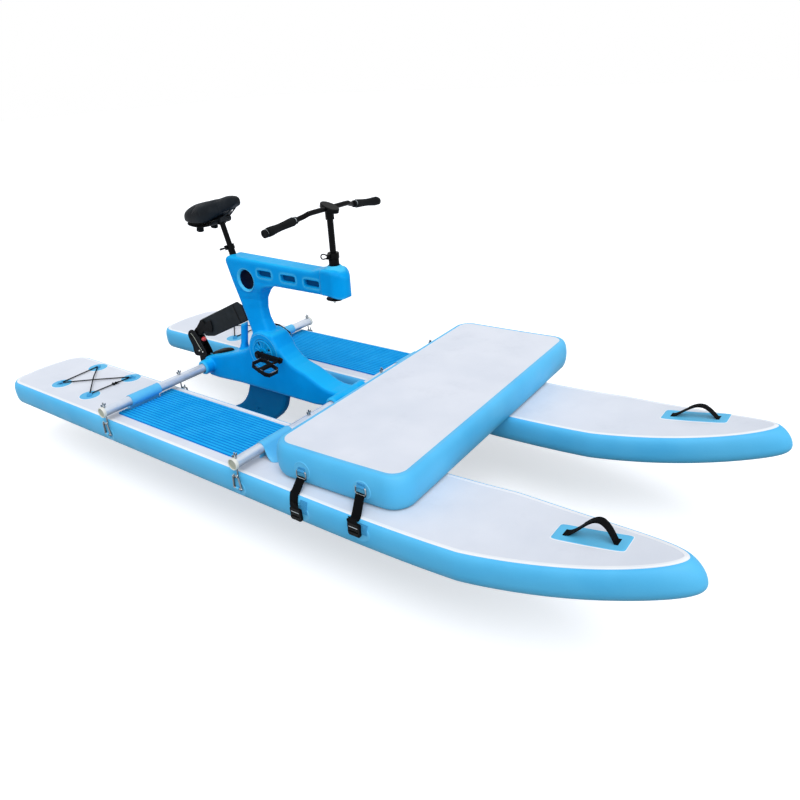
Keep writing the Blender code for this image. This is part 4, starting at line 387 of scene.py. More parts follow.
def piece(name, body, parts, materials, replaced=(), angle=35.0):
    """One object from parts (points, wrap_rows, wrap_columns, material number, optional uv), riding on a body."""
    points, faces, slots, runs = [], [], [], []
    base = 0
    for part in parts:
        grid, wrap_rows, wrap_columns, number = part[:4]
        rows, columns = grid.shape[:2]
        corners = quads(rows, columns, wrap_rows, wrap_columns)
        uv = part[4] if len(part) > 4 else np.zeros((rows, columns, 2))
        points.append(grid.reshape(-1, 3))
        faces.append(corners + base)
        slots.append(np.full(len(corners), number))
        runs.append(uv.reshape(-1, 2)[corners].reshape(-1, 2))
        base += rows * columns
    points, faces = np.concatenate(points), np.concatenate(faces)
    mesh = bpy.data.meshes.new(name)
    mesh.from_pydata(points.tolist(), [], faces.tolist())
    mesh.uv_layers.new(name="run").uv.foreach_set("vector", np.concatenate(runs).astype(np.float32).ravel())
    mesh.polygons.foreach_set("material_index", np.concatenate(slots).astype(np.int32))
    for material in materials:
        mesh.materials.append(material)
    shell = bmesh.new()
    shell.from_mesh(mesh)
    bmesh.ops.remove_doubles(shell, verts=shell.verts, dist=MERGE)
    bmesh.ops.dissolve_degenerate(shell, edges=shell.edges, dist=1e-7)
    bmesh.ops.recalc_face_normals(shell, faces=shell.faces)
    shell.to_mesh(mesh)
    shell.free()
    mesh.shade_smooth()
    mesh.set_sharp_from_angle(angle=math.radians(angle))
    made = bpy.data.objects.new(name, mesh)
    bpy.context.scene.collection.objects.link(made)
    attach(made, body)
    if replaced:
        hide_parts(*replaced)
    print(name, len(mesh.polygons))
    return made


def around(count):
    """Angles evenly round a circle."""
    return np.linspace(0, 2 * np.pi, count, endpoint=False)


def signed(value, power):
    """sign(v) |v|^power, which makes a circle's cosine and sine squarer when the power is below one."""
    return np.sign(value) * np.abs(value) ** power


def length_along(path):
    """Distance run at each point of a path."""
    return np.concatenate([[0], np.cumsum(np.linalg.norm(np.diff(path, axis=0), axis=1))])


def unit(vectors):
    """Rows scaled to length one."""
    return vectors / np.maximum(np.linalg.norm(vectors, axis=-1, keepdims=True), 1e-12)


def smooth_path(points, count, closed=False):
    """A Catmull-Rom curve through the points, evenly spread by parameter."""
    p = np.asarray(points, float)
    if closed:
        p = np.vstack([p[-1:], p, p[:2]])
    else:
        p = np.vstack([2 * p[:1] - p[1:2], p, 2 * p[-1:] - p[-2:-1]])
    spans = len(p) - 3
    t = np.linspace(0, spans, count, endpoint=not closed)
    k = np.minimum(t.astype(int), spans - 1)
    f = (t - k)[:, None]
    a, b, c, d = p[k], p[k + 1], p[k + 2], p[k + 3]
    return 0.5 * (2 * b + (c - a) * f + (2 * a - 5 * b + 4 * c - d) * f**2 + (3 * b - a - 3 * c + d) * f**3)


def frames(path, beside, closed=False):
    """Tangent, side and upright unit vectors along a path, from one reference direction."""
    if closed:
        ahead = np.roll(path, -1, axis=0) - np.roll(path, 1, axis=0)
    else:
        ahead = np.gradient(path, axis=0)
    ahead = unit(ahead)
    side = unit(np.cross(np.broadcast_to(np.asarray(beside, float), path.shape), ahead))
    return ahead, side, np.cross(ahead, side)


def tube(path, radius, beside=(0, 0, 1), sides=12, closed=False):
    """A circle carried along a path: centre + r cos a side + r sin a upright. UV is (run, girth) in metres."""
    path = np.asarray(path, float)
    _, side, upright = frames(path, beside, closed)
    radius = np.broadcast_to(np.asarray(radius, float), (len(path),))
    if not closed:
        path, side, upright = (np.vstack([v[:1], v, v[-1:]]) for v in (path, side, upright))
        radius = np.concatenate([[0], radius, [0]])
    a = around(sides)
    grid = path[:, None] + radius[:, None, None] * (
        np.cos(a)[None, :, None] * side[:, None] + np.sin(a)[None, :, None] * upright[:, None])
    run = length_along(path)
    uv = np.stack(np.broadcast_arrays(run[:, None], (a * radius.max())[None]), -1)
    return grid, closed, True, 0, uv


def turned(profile, centre, direction, sides=32):
    """A profile (radius, height) turned round a line through centre."""
    profile = np.asarray(profile, float)
    axis = unit(np.asarray(direction, float))
    first = unit(np.cross(axis, (0.0, 0.0, 1.0) if abs(axis[2]) < 0.9 else (1.0, 0.0, 0.0)))
    second = np.cross(axis, first)
    a = around(sides)
    ring = np.cos(a)[:, None] * first + np.sin(a)[:, None] * second
    grid = np.asarray(centre, float) + profile[:, :1, None] * ring[None] + profile[:, 1:, None] * axis
    return grid, False, True, 0


def ribbon(path, across, width, thickness):
    """A flat band: a rounded slot section of this width and thickness carried along a path. UV is in metres."""
    path = np.asarray(path, float)
    across = unit(np.broadcast_to(np.asarray(across, float), path.shape))
    ahead = unit(np.gradient(path, axis=0))
    normal = unit(np.cross(ahead, across))
    h, t = width / 2, thickness / 2
    section = np.array([(-h, -t / 2), (-h + t, -t), (h - t, -t), (h, -t / 2), (h, t / 2), (h - t, t), (-h + t, t),
                        (-h, t / 2)])
    grid = path[:, None] + section[None, :, :1] * across[:, None] + section[None, :, 1:] * normal[:, None]
    middle = path[:, None] + 0 * grid
    run = length_along(path)
    uv = np.stack(np.broadcast_arrays(run[:, None], section[None, :, 0]), -1)
    uv = np.concatenate([uv[:1], uv, uv[-1:]])
    return np.concatenate([middle[:1], grid, middle[-1:]]), False, True, 0, uv


def stacked(levels, axis):
    """Rings from outlines and their heights, the heights running along this axis."""
    order = {"Z": (0, 1, 2), "Y": (0, 2, 1), "X": (2, 0, 1)}[axis]
    return np.stack([np.column_stack([flat, np.full(len(flat), height)])[:, order] for flat, height in levels])


def slab(outline, low, high, edge=0.0, axis="Z"):
    """A flat plate: its outline at both heights, with its edge rounded by this much, closed by its middle."""
    outline = np.asarray(outline, float)
    centre = outline.mean(axis=0)
    inner = centre + (outline - centre) * (1 - edge / np.linalg.norm(outline - centre, axis=1, keepdims=True))
    middle = np.broadcast_to(centre, outline.shape)
    levels = [(middle, low), (inner, low), (outline, low + edge), (outline, high - edge), (inner, high),
              (middle, high)]
    return stacked(levels, axis), False, True, 0


def hollow(outline, wall, low, high, edge, axis="Z"):
    """A closed frame: the outline and its copy moved in by the wall, both between two heights, edges rounded."""
    centre = outline.mean(axis=0)
    half = np.abs(outline - centre).max(axis=0)
    levels = [(0, low + edge), (0, high - edge), (edge, high), (wall - edge, high), (wall, high - edge),
              (wall, low + edge), (wall - edge, low), (edge, low)]
    levels = [(centre + (outline - centre) * (1 - by / half), height) for by, height in levels]
    return stacked(levels, axis), True, True, 0


def heading(degrees):
    """Unit vectors along and across a direction in a flat drawing."""
    turn = math.radians(degrees)
    return np.array((math.cos(turn), math.sin(turn))), np.array((-math.sin(turn), math.cos(turn)))


def coloured(part, number):
    """The same part with another of the piece's materials."""
    return (*part[:3], number, *part[4:])


def plate(outline, side, low, high, edge, number=0, wall=None):
    """A slab, or a frame with this wall, on one side of the craft, between two distances from its middle."""
    low, high = sorted((side * low, side * high))
    part = slab(outline, low, high, edge, "Y") if wall is None else hollow(outline, wall, low, high, edge, "Y")
    return coloured(part, number)


def oval(centre, radius_u, radius_v, count=24, corner=1.0):
    """Outline of a superellipse; corner 1 is an ellipse, smaller is squarer."""
    a = around(count)
    c, s = np.cos(a), np.sin(a)
    return np.stack([centre[0] + radius_u * signed(c, corner), centre[1] + radius_v * signed(s, corner)], -1)


print("mesh tools ready")

# %% [markdown]
# ## The inflated bodies
# A hull is a flat panel of even depth whose rail bows out between the deck and the underside. Its outline
# tapers to the bow, where the whole section also lifts. The rail is a superellipse, |x|^n + |y|^n = 1, which
# is a little squarer than a circle. Deck, seam tape and rail are bands of one skin.

# %% Shape of a hull
HULL_Y, HULL_STAGGER, HULL_DEPTH, DECK_TOP = 0.499, 0.030, 0.120, 0.1204
HULL_FULLNESS, PLATFORM_FULLNESS, PLATFORM_BULGE = 2.6, 2.2, 0.030
DECK_HALF, RAIL_BULGE, SEAM = 0.2075, 0.027, 0.0009
STERN_X, TAPER_X, TIP_X, ROCKER_X, ROCKER_RISE = -1.405, 1.561, 2.239, 0.631, 0.144
TUBE_X, TUBE_Z, STEER_X = 0.469, 0.1726, 0.463


def rocker(x):
    """Lift of the hull's line: 0.144 m times (share of the way to the tip)^3.3."""
    return ROCKER_RISE * (np.maximum(0, x - ROCKER_X) / (TIP_X - ROCKER_X)) ** 3.3


def hull_edge():
    """Deck edge (x, half width): stern crown, quarter circle corner, straight, then (1 - s^1.14)^0.567."""
    crown = np.array([(STERN_X - 0.012, 0.0), (STERN_X - 0.0115, 0.030), (STERN_X - 0.007, 0.075)])
    a = np.linspace(0, np.pi / 2, 12)
    corner = np.stack([STERN_X + 0.09 * (1 - np.cos(a)), DECK_HALF - 0.09 * (1 - np.sin(a))], -1)
    straight = np.stack([np.linspace(-1.25, TAPER_X - 0.03, 60), np.full(60, DECK_HALF)], -1)
    s = np.sin(np.linspace(0, np.pi / 2, 150))
    bow = np.stack([TAPER_X + (TIP_X - TAPER_X) * s, DECK_HALF * (1 - s**1.14).clip(0) ** 0.567], -1)
    return np.vstack([crown, corner, straight, bow])


def rail_levels(count, fullness):
    """Height share and outward share round the rail, from the underside up."""
    a = np.linspace(0, np.pi, count)
    c = -np.cos(a)
    return 0.5 * (1 + signed(c, 2 / fullness)), np.sin(a).clip(0) ** (2 / fullness)


def spread_out(edge, distance):
    """The half outline moved outwards along its normal; the centre line stays on y = 0."""
    ahead = unit(np.gradient(edge, axis=0))
    normal = np.stack([-ahead[:, 1], ahead[:, 0]], -1)
    normal[0], normal[-1] = (-1, 0), (1, 0)
    moved = edge + normal * distance
    moved[:, 1] = np.maximum(moved[:, 1], 0)
    return moved


def inflated(half_edge, depth, bulge, fullness, lift, finish_point):
    """Bands of the skin: underside, rail, seam lip and deck. finish_point puts (x, y, z) in the craft."""
    def ring(distance, height):
        edge = spread_out(half_edge, distance)
        both = np.vstack([edge, (edge * (1, -1))[::-1]])
        z = height + lift(np.concatenate([half_edge[:, 0], half_edge[::-1, 0]]))
        return both, z

    share, out = rail_levels(25, fullness)
    rail = [(bulge * o, depth * s) for s, o in zip(share, out)]
    lip = [(0.0, depth), (-0.0006, depth + SEAM), (-0.010, depth + SEAM), (-0.0106, depth)]
    rows = [ring(*level) for level in rail[:-1] + lip]
    grid = np.stack([finish_point(np.column_stack([flat, z]), height)
                     for (flat, z), (_, height) in zip(rows, rail[:-1] + lip)])
    count = len(half_edge)
    across = np.linspace(0, 1, 9)[:, None, None]
    deck = grid[-1][:count] * (1 - across) + grid[-1][:count - 1:-1] * across
    under = grid[0][:count] * (1 - across) + grid[0][:count - 1:-1] * across
    return [(grid[:24], False, True, 1), (grid[23:27], False, True, 2), (grid[26:], False, True, 0),
            (deck, False, False, 0), (under, False, False, 1)]


print("hull outline", hull_edge().shape)

# %% Hulls
edge = hull_edge()
for label, side in SIDES:
    def in_place(points, height, side=side):
        share = height / HULL_DEPTH
        reach = 0.0858 * max(0.0, 1 - share) * max(share, 0.03) ** 0.5
        nose = (np.maximum(0, points[:, 0] - 2.00) / 0.239) ** 2
        return points + np.stack([reach * nose + side * HULL_STAGGER, np.full(len(points), side * HULL_Y),
                                  np.zeros(len(points))], -1)
    parts = inflated(edge, HULL_DEPTH, RAIL_BULGE, HULL_FULLNESS, rocker, in_place)
    piece(f"hull_skin_{label}", "craft", parts, [deck_white, rail_blue, tape_and_highlight_white], [f"hull_{label}"])

# %% Bow platform
PLATFORM_X, PLATFORM_Y, PLATFORM_Z, PLATFORM_DEPTH = 0.893, 0.170, 0.1208, 0.150
HALF_X, HALF_Y, corner = 0.306, 0.7885, 0.070
a = np.linspace(0, np.pi / 2, 14)
quarter = np.stack([HALF_X - corner * (1 - np.sin(a)), HALF_Y - corner * (1 - np.cos(a))], -1)
rear_edge = np.stack([np.full(30, -HALF_X), np.linspace(0, HALF_Y - corner, 30)], -1)
end_edge = np.stack([np.linspace(-0.22, 0.22, 12), np.full(12, HALF_Y)], -1)
front_edge = (rear_edge * (-1, 1))[::-1]
platform_edge = np.vstack([rear_edge[:-1], (quarter * (-1, 1))[::-1], end_edge, quarter, front_edge[1:]])
TURN = math.radians(2.1)


def on_the_bows(points, height):
    """Turned by 2.1 degrees about its middle, its line following the decks under it."""
    x = points[:, 0] * math.cos(TURN) - points[:, 1] * math.sin(TURN) + PLATFORM_X
    y = points[:, 0] * math.sin(TURN) + points[:, 1] * math.cos(TURN) + PLATFORM_Y
    return np.stack([x, y, points[:, 2] + PLATFORM_Z + rocker(x + HULL_STAGGER)], -1)


parts = inflated(platform_edge, PLATFORM_DEPTH, PLATFORM_BULGE, PLATFORM_FULLNESS, lambda x: 0 * x, on_the_bows)
piece("bow_platform_skin", "craft", parts, [deck_white, rail_blue, rail_seam], ["bow_platform"])

# %% [markdown]
# ## Grooved deck pads
# EVA foam is milled with grooves along the pad so that wet feet don't slip. The pad's section across is a row
# of flat ridges with narrow grooves between them. Each line along it is shortened at the rounded corners, and
# where a tube's sleeve is welded down over its end.

# %% Deck pads
PAD_RIDGES, PAD_CORNER, PAD_TOP, GROOVE = 18, 0.010, 0.1279, 0.0032
PAD_ENDS, ENDS_AT_SLEEVES, SLEEVE_HALF = (-0.494, 0.410), (-0.4660, 0.4055), 0.094


def grooved_pad(y0, y1, sleeve_y):
    """Height across: the top on a ridge, less the groove's depth in a groove. Each line is moved in by
    r - sqrt(r^2 - d^2) near a corner, and is shorter where a sleeve crosses the pad's end."""
    pitch, groove_z = (y1 - y0) / PAD_RIDGES, PAD_TOP - GROOVE
    shape = np.array([(0.0, -GROOVE), (0.14, -GROOVE), (0.20, 0.0), (0.80, 0.0), (0.86, -GROOVE)])
    y = (y0 + pitch * (np.arange(PAD_RIDGES)[:, None] + shape[None, :, 0])).ravel()
    z = (PAD_TOP + 0 * y.reshape(PAD_RIDGES, -1) + shape[None, :, 1]).ravel()
    y = np.concatenate([[y0, y0], y, [y1, y1, y1]])
    z = np.concatenate([[DECK_TOP, groove_z - 0.001], z, [groove_z, groove_z - 0.001, DECK_TOP]])
    d = np.maximum(0, PAD_CORNER - np.minimum(y - y0, y1 - y))
    cut = PAD_CORNER - np.sqrt(np.maximum(PAD_CORNER**2 - d**2, 0))
    under = np.abs(y - sleeve_y) < SLEEVE_HALF
    rear = np.where(under, ENDS_AT_SLEEVES[0], PAD_ENDS[0] + cut)
    front = np.where(under, ENDS_AT_SLEEVES[1], PAD_ENDS[1] - cut)
    share = np.array([0, 0, 0.002, 0.1, 0.3, 0.5, 0.7, 0.9, 0.998, 1, 1])[:, None]
    x = rear * (1 - share) + front * share
    height = np.broadcast_to(z, x.shape).copy()
    height[[0, -1]] = DECK_TOP
    height[[1, -2]] = np.minimum(height[[1, -2]], PAD_TOP - 0.0012)
    top = np.stack([x, np.broadcast_to(y, x.shape), height], -1)
    flat = top[[0, -1]].copy()
    return [(top, False, False, 0), (flat, False, False, 0)]


for label, y0, y1, sleeve_y in (("starboard", -0.650, -0.320, -0.500), ("port", 0.355, 0.695, 0.500)):
    piece(f"deck_pad_grooved_{label}", "craft", grooved_pad(y0, y1, sleeve_y), [pad_foam], [f"deck_pad_{label}"],
          angle=25)

# %% [markdown]
# ## Patches on the rails
# Everything that is tied to an inflated body is welded on with a round patch of the same fabric. A patch is a
# disc of rings and spokes, bent over the wall that carries it and lifted off it by its own thickness.


# %% Walls and patches
def bulge_at(share, bulge, fullness):
    """How far a rail stands out at a share of its height: b (1 - |2 s - 1|^n)^(1/n)."""
    return bulge * (1 - np.abs(2 * share - 1) ** fullness).clip(0) ** (1 / fullness)


def hull_wall(side, outer=True):
    """Point on a hull's rail at (x, height share), on its outboard or inboard side."""
    turn = side if outer else -side

    def wall(x, share):
        out = bulge_at(share, RAIL_BULGE, HULL_FULLNESS)
        return np.stack([x, side * HULL_Y + turn * (DECK_HALF + out), HULL_DEPTH * share + rocker(x)], -1)
    return wall


def platform_wall(side):
    """Point on the end of the platform at (x, height share)."""
    def wall(x, share):
        out = bulge_at(share, PLATFORM_BULGE, PLATFORM_FULLNESS)
        y = PLATFORM_Y + (x - PLATFORM_X) * math.sin(TURN) + side * (HALF_Y + out) / math.cos(TURN)
        return np.stack([x, y, PLATFORM_Z + PLATFORM_DEPTH * share + rocker(x + HULL_STAGGER)], -1)
    return wall


def deck_wall(x, y):
    """Point on a deck, for patches that lie flat."""
    return np.stack([x, y, DECK_TOP + rocker(x - np.sign(y) * HULL_STAGGER)], -1)


def patch(wall, u0, v0, half_u, half_v, thick=0.0012, corner=1.0, spokes=40, outward=1):
    """Disc of rings and spokes in the wall's own (u, v), lifted along the wall's normal, with a rolled edge."""
    reach = np.array([0.0, 0.3, 0.6, 0.86, 0.93, 0.97, 1.0])[:, None]
    lift = np.array([1.0, 1.0, 1.0, 1.0, 1.6, 1.0, -0.4])[:, None, None] * thick
    a = around(spokes)[None]
    u, v = u0 + half_u * reach * signed(np.cos(a), corner), v0 + half_v * reach * signed(np.sin(a), corner)
    here = wall(u, v)
    du, dv = wall(u + 1e-4, v) - here, wall(u, v + 1e-4) - here
    return here + lift * outward * unit(np.cross(du, dv)), False, True, 0


print("walls ready")

# %% [markdown]
# ## Plugs in the tube ends
# Each cross tube is closed by a moulded plug: a rounded rim that is wider than the tube round a dished face,
# painted a greyer cream as painted shade.

# %% Tube plugs
for spot, end, side in CORNERS:
    rim = mm([(20, 733), (25.5, 733), (26.8, 734.5), (26.8, 746.5), (25.5, 748.8), (22.8, 748.8),
              (21.6, 747.2)])
    # the dished face in greyer cream is painted shade
    face = mm([(21.7, 747.4), (21.2, 744), (0, 743.4)])
    centre = (end * TUBE_X, 0, TUBE_Z)
    piece(f"end_plug_{spot}", "craft",
          [turned(rim, centre, (0, side, 0), 48), coloured(turned(face, centre, (0, side, 0), 48), 1)],
          [cap_cream, cream_shade_and_glint], [f"tube_cap_{spot}"])

# %% [markdown]
# ## Hooks, rings and wing nuts
# Each tube is tied down by bent wire hooks that pass through it, are tightened by a wing nut above and pull
# on a ring at the rail. A hook is one wire: straight, then half a turn of 10 mm radius. The ring is a rounded
# trapezium, held by a short webbing tab under a round patch.


# %% Hook bolt
HOOK_OUTER_Y, HOOK_INNER_Y = 0.728, 0.276


def hook_parts(x, y, side):
    """Wire (x, y + side r (1 - cos a), z - r sin a), flange nut and two wings."""
    a = np.linspace(0, np.pi, 14)
    straight = np.stack([np.full(8, x), np.full(8, y), np.linspace(0.2206, 0.120, 8)], -1)
    bend = np.stack([np.full(14, x), y + side * 0.010 * (1 - np.cos(a)), 0.118 - 0.010 * np.sin(a)], -1)
    tip = np.array([(x, y + side * 0.0202, 0.123), (x, y + side * 0.0215, 0.127)])
    parts = [tube(np.vstack([straight, bend, tip]), 0.0035, beside=(1, 0, 0), sides=12)]
    top = 0.197
    parts.append(turned(mm([(0, 0), (8.5, 0), (9, 0.6), (9, 1.5), (6.6, 2.2), (5.6, 4), (5.2, 10.5),
                            (4.5, 11.5), (0, 11.5)]), (x, y, top), (0, 0, 1), 20))
    for turn in (-1, 1):
        wing = oval((y + turn * 0.0086, top + 0.0110), 0.0042, 0.0066, 18)
        wing[:, 0] += turn * (wing[:, 1] - top - 0.006) * 0.22
        parts.append(slab(wing, x - 0.0013, x + 0.0013, 0.0006, "X"))
    return parts


for spot, end, side in CORNERS:
    piece(f"wing_hook_{spot}", "craft", hook_parts(end * TUBE_X, side * HOOK_OUTER_Y, side),
          [steel_wire], [f"hook_bolt_{spot}"])
    piece(f"wing_hook_inner_{spot}", "craft", hook_parts(end * TUBE_X, side * HOOK_INNER_Y, -side), [steel_wire])


# %% Rings, their tabs and patches
def ring_parts(x, side, outer=True):
    """Ring leaning from the hook's bend to the rail, with a folded tab round its lower bar and a round patch."""
    turn = side if outer else -side
    rail = side * HULL_Y + turn * 0.2345
    u = mm([-14.5, -16.5, -21.5, -23.5, -20.5, 0, 20.5, 23.5, 21.5, 16.5, 14.5, 0])
    v = mm([40, 37, -10, -15, -18, -18, -18, -15, -10, 37, 40, 40.5])
    loop = np.stack([x + u, rail + turn * (0.0068 + 0.0010 * v / 0.04), 0.0715 + v], -1)
    parts = [tube(smooth_path(loop, 72, True), 0.0046, beside=(0, 1, 0), sides=12, closed=True)]
    fold = mm([(1.6, 50), (1.6, 60), (1.8, 69), (4, 76.5), (8.2, 77.2), (11.8, 73), (10.5, 67), (6, 63),
               (3.8, 56), (3.6, 50)])
    path = smooth_path(np.stack([np.full(len(fold), x), rail + turn * fold[:, 0], fold[:, 1] - 0.018], -1), 44)
    parts.append(coloured(ribbon(path, (1, 0, 0), 0.017, 0.0016), 1))
    toward = 1 if turn < 0 else -1
    parts.append(coloured(patch(hull_wall(side, outer), x, 0.42, 0.040, 0.32, outward=toward), 2))
    return parts


for spot, end, side in CORNERS:
    piece(f"rail_ring_{spot}", "craft", ring_parts(end * TUBE_X, side),
          [steel_wire, rail_seam, rail_seam], [f"d_ring_{spot}"])
    piece(f"rail_ring_inner_{spot}", "craft", ring_parts(end * TUBE_X, side, False),
          [steel_wire, rail_seam, rail_seam])

# %% [markdown]
# ## Sleeves over the tubes
# A fabric sleeve wraps each tube where it crosses a hull and is welded to the deck. The rear one's section is
# a keyhole: a flat flap, a short neck and a circle round the tube. The front one's sheet runs like a tent from
# the tube down to the deck under the platform.


# %% Tube sleeves
def sleeve_section(front, rear):
    """Closed outline (x, z): flap, neck, circle round the tube, neck, flap, and back along the inside. A long
    front flap is a tent: the sheet leaves the tube above its widest point and curves down to the deck."""
    tent = front > 0.030
    a = np.linspace(0.36 if tent else -np.pi / 2 + 0.10, 1.5 * np.pi - 0.36, 40)
    arc = np.stack([0.0276 * np.cos(a), 0.0526 + 0.0276 * np.sin(a)], -1)
    inside = np.stack([0.0250 * np.cos(a), 0.0526 + 0.0250 * np.sin(a)], -1)[::-1]
    neck = np.array([(0.0112, 0.0100), (0.0098, 0.0200)])
    left = np.array([(-0.0135, 0.0040), (-rear * 0.6 - 0.006, 0.0030), (-rear, 0.0022), (-rear, 0.0006)])
    under = mm([(-7.5, 0.6), (-7.2, 10), (-6.8, 22)])
    if tent:
        run = front - 0.0259
        slope = np.array([(1.0, 0.0006), (1.0, 0.0022), (0.78, 0.0048), (0.55, 0.0115), (0.32, 0.0250),
                          (0.13, 0.0440)])
        slope[:, 0] = 0.0259 + run * slope[:, 0]
        return np.vstack([slope, arc[1:-1], (neck * (-1, 1))[::-1], left, under, inside[1:-1],
                          slope[:1:-1] - (0.0024, 0.0016)])
    return np.vstack([arc[:-1], (neck * (-1, 1))[::-1], left, under, inside[1:]])


def sleeve_parts(x, y, front, rear):
    """The section carried along Y. Near its ends each flap is drawn in by r - sqrt(r^2 - d^2)."""
    half, round_off = 0.0875, 0.030
    ys = half * np.array([-1, -0.98, -0.94, -0.86, -0.76, -0.65, 0.65, 0.76, 0.86, 0.94, 0.98, 1])
    d = np.maximum(0, np.abs(ys) - (half - round_off))
    draw = round_off - np.sqrt(round_off**2 - d**2)
    sections = np.stack([sleeve_section(max(0.016, front - cut), max(0.016, rear - cut)) for cut in draw])
    grid = np.stack([x + sections[..., 0], np.broadcast_to((y + ys)[:, None], sections.shape[:2]),
                     DECK_TOP + sections[..., 1]], -1)
    half_way = sections.shape[1] // 2
    ends = [np.stack([row[:half_way], row[::-1][:half_way]]) for row in (grid[0], grid[-1])]
    return [(grid, False, True, 0), *[(end, False, False, 0) for end in ends]]


for spot, end, side in CORNERS:
    front, rear = (0.090, 0.016) if end > 0 else (0.016, 0.060)
    piece(f"sleeve_{spot}", "craft", sleeve_parts(end * TUBE_X, side * 0.500, front, rear),
          [rail_seam], [f"tube_sleeve_{spot}"], angle=50)

# %% [markdown]
# ## Straps that hold the platform
# On each end of the platform two patches hold a webbing tab with a steel ring. A black strap runs from the
# ring to a buckle at the hull's rail. Webbing is a flat band carried along a smooth path, and the buckle is
# a stack of rounded plates and bars.


# %% Platform straps
def strap_parts(ring_x, ring_z, buckle_x, buckle_z, side):
    """Ring on the platform's end, webbing over the hull's edge, and a buckle with a loose tail on the rail."""
    wall = platform_wall(side)
    end = wall(np.array([ring_x]), np.array([0.5]))[0]
    hull_y = side * (HULL_Y + DECK_HALF + RAIL_BULGE)
    toward = 1 if side < 0 else -1
    parts = [coloured(patch(wall, ring_x, 0.47, 0.042, 0.27, outward=toward), 3)]
    ring_y = end[1] + side * 0.0062
    u = mm([-20, -24, -22.5, 0, 22.5, 24, 20, 0])
    v = mm([15, 9, -12, -15, -12, 9, 15, 15.5])
    loop = np.stack([ring_x + u, ring_y + side * 0.001 * (1 - v / 0.015), ring_z + v], -1)
    parts.append(coloured(tube(smooth_path(loop, 56, True), 0.0030, beside=(0, 1, 0), sides=10, closed=True), 1))
    fold = mm([(1, 30), (1.4, 26.5), (3, 22), (6.2, 19.6), (10.6, 16.5), (8.5, 10.5), (4.6, 12.5), (3.4, 22),
               (3.4, 29)])
    fold = np.stack([np.full(len(fold), ring_x), end[1] + side * fold[:, 0], ring_z + fold[:, 1]], -1)
    parts.append(coloured(ribbon(smooth_path(fold, 40), (1, 0, 0), 0.036, 0.0016), 2))
    low_y = hull_y + side * 0.0075
    over_deck = abs(end[1]) > abs(hull_y)
    middle = ([(end[1] - side * 0.004, 0.140), (end[1] - side * 0.030, 0.114)] if over_deck
              else [(hull_y - side * 0.030, 0.1315), (hull_y - side * 0.0120, 0.1215)])
    route = [(ring_y + side * 0.0045, ring_z - 0.0100), (ring_y + side * 0.0002, ring_z - 0.0100),
             (ring_y - side * 0.0030, ring_z - 0.0150), (ring_y + side * 0.0005, ring_z - 0.0205),
             (ring_y + side * 0.0062, ring_z - 0.0160), *middle, (low_y, buckle_z + 0.030), (low_y, buckle_z),
             (low_y - side * 0.001, buckle_z - 0.022)]
    route = np.array(route)
    slide = np.clip((ring_z - 0.02 - route[:, 1]) / (ring_z - 0.02 - buckle_z), 0, 1) * (buckle_x - ring_x)
    route = smooth_path(np.column_stack([ring_x + slide, route]), 90)
    parts.append(ribbon(route, (1, 0, 0), 0.044, 0.0024))
    tail = smooth_path(np.array([(buckle_x + 0.003, low_y + side * 0.0040, buckle_z + 0.012),
                                 (buckle_x + 0.001, low_y + side * 0.0052, buckle_z + 0.035),
                                 (buckle_x - 0.004, low_y + side * 0.0045, buckle_z + 0.052)]), 14)
    parts.append(ribbon(tail, (1, 0.02 * side, 0.03), 0.038, 0.0022))
    y0, y1 = sorted((hull_y + side * 0.0020, hull_y + side * 0.0150))
    frames_and_bars = ((0.018, 0.0085, 0.0270), (-0.002, 0.0055, 0.0245), (-0.021, 0.0085, 0.0270))
    for z, tall, wide in frames_and_bars:
        plate = oval((buckle_x, buckle_z + z), wide, tall, 28, 0.35)
        parts.append(coloured(slab(plate, y0, y1, 0.0018, "Y"), 4))
    for edge in (-1, 1):
        bar = oval((buckle_x + edge * 0.0245, buckle_z), 0.0034, 0.0250, 20, 0.4)
        parts.append(coloured(slab(bar, y0, y1, 0.0012, "Y"), 4))
    pin = [(buckle_x + t, (y0 + y1) / 2 + side * 0.0052, buckle_z + 0.009) for t in (-0.021, 0.021)]
    parts.append(coloured(tube(np.linspace(*pin, 6), 0.0024, sides=10), 1))
    share = np.clip((buckle_z + 0.005) / HULL_DEPTH, 0.3, 0.6)
    parts.append(coloured(patch(hull_wall(side), buckle_x + 0.016, share, 0.048, 0.30, outward=toward), 3))
    loop_tab = hull_wall(side)(np.full(12, buckle_x + 0.034), np.linspace(share, 0.93, 12))
    parts.append(coloured(ribbon(loop_tab + (0, side * 0.0022, 0.0008), (1, 0, 0), 0.036, 0.0016), 2))
    return parts


for label, side in SIDES:
    for number, place in enumerate(((0.777, 0.176, 0.808, 0.051), (1.073, 0.194, 1.108, 0.093)), 1):
        piece(f"webbing_strap_{label}_{number}", "craft", strap_parts(*place, side),
              [black_webbing, steel_wire, blue_webbing, rail_seam, black_nylon],
              [f"platform_strap_{label}_{number}"])

# %% [markdown]
# ## Carry handles
# A webbing arch on each bow deck, its two ends welded under a rectangular blue patch. The patch is squarer
# than an ellipse (a superellipse with a small power), and the arch leaves it through two slots.


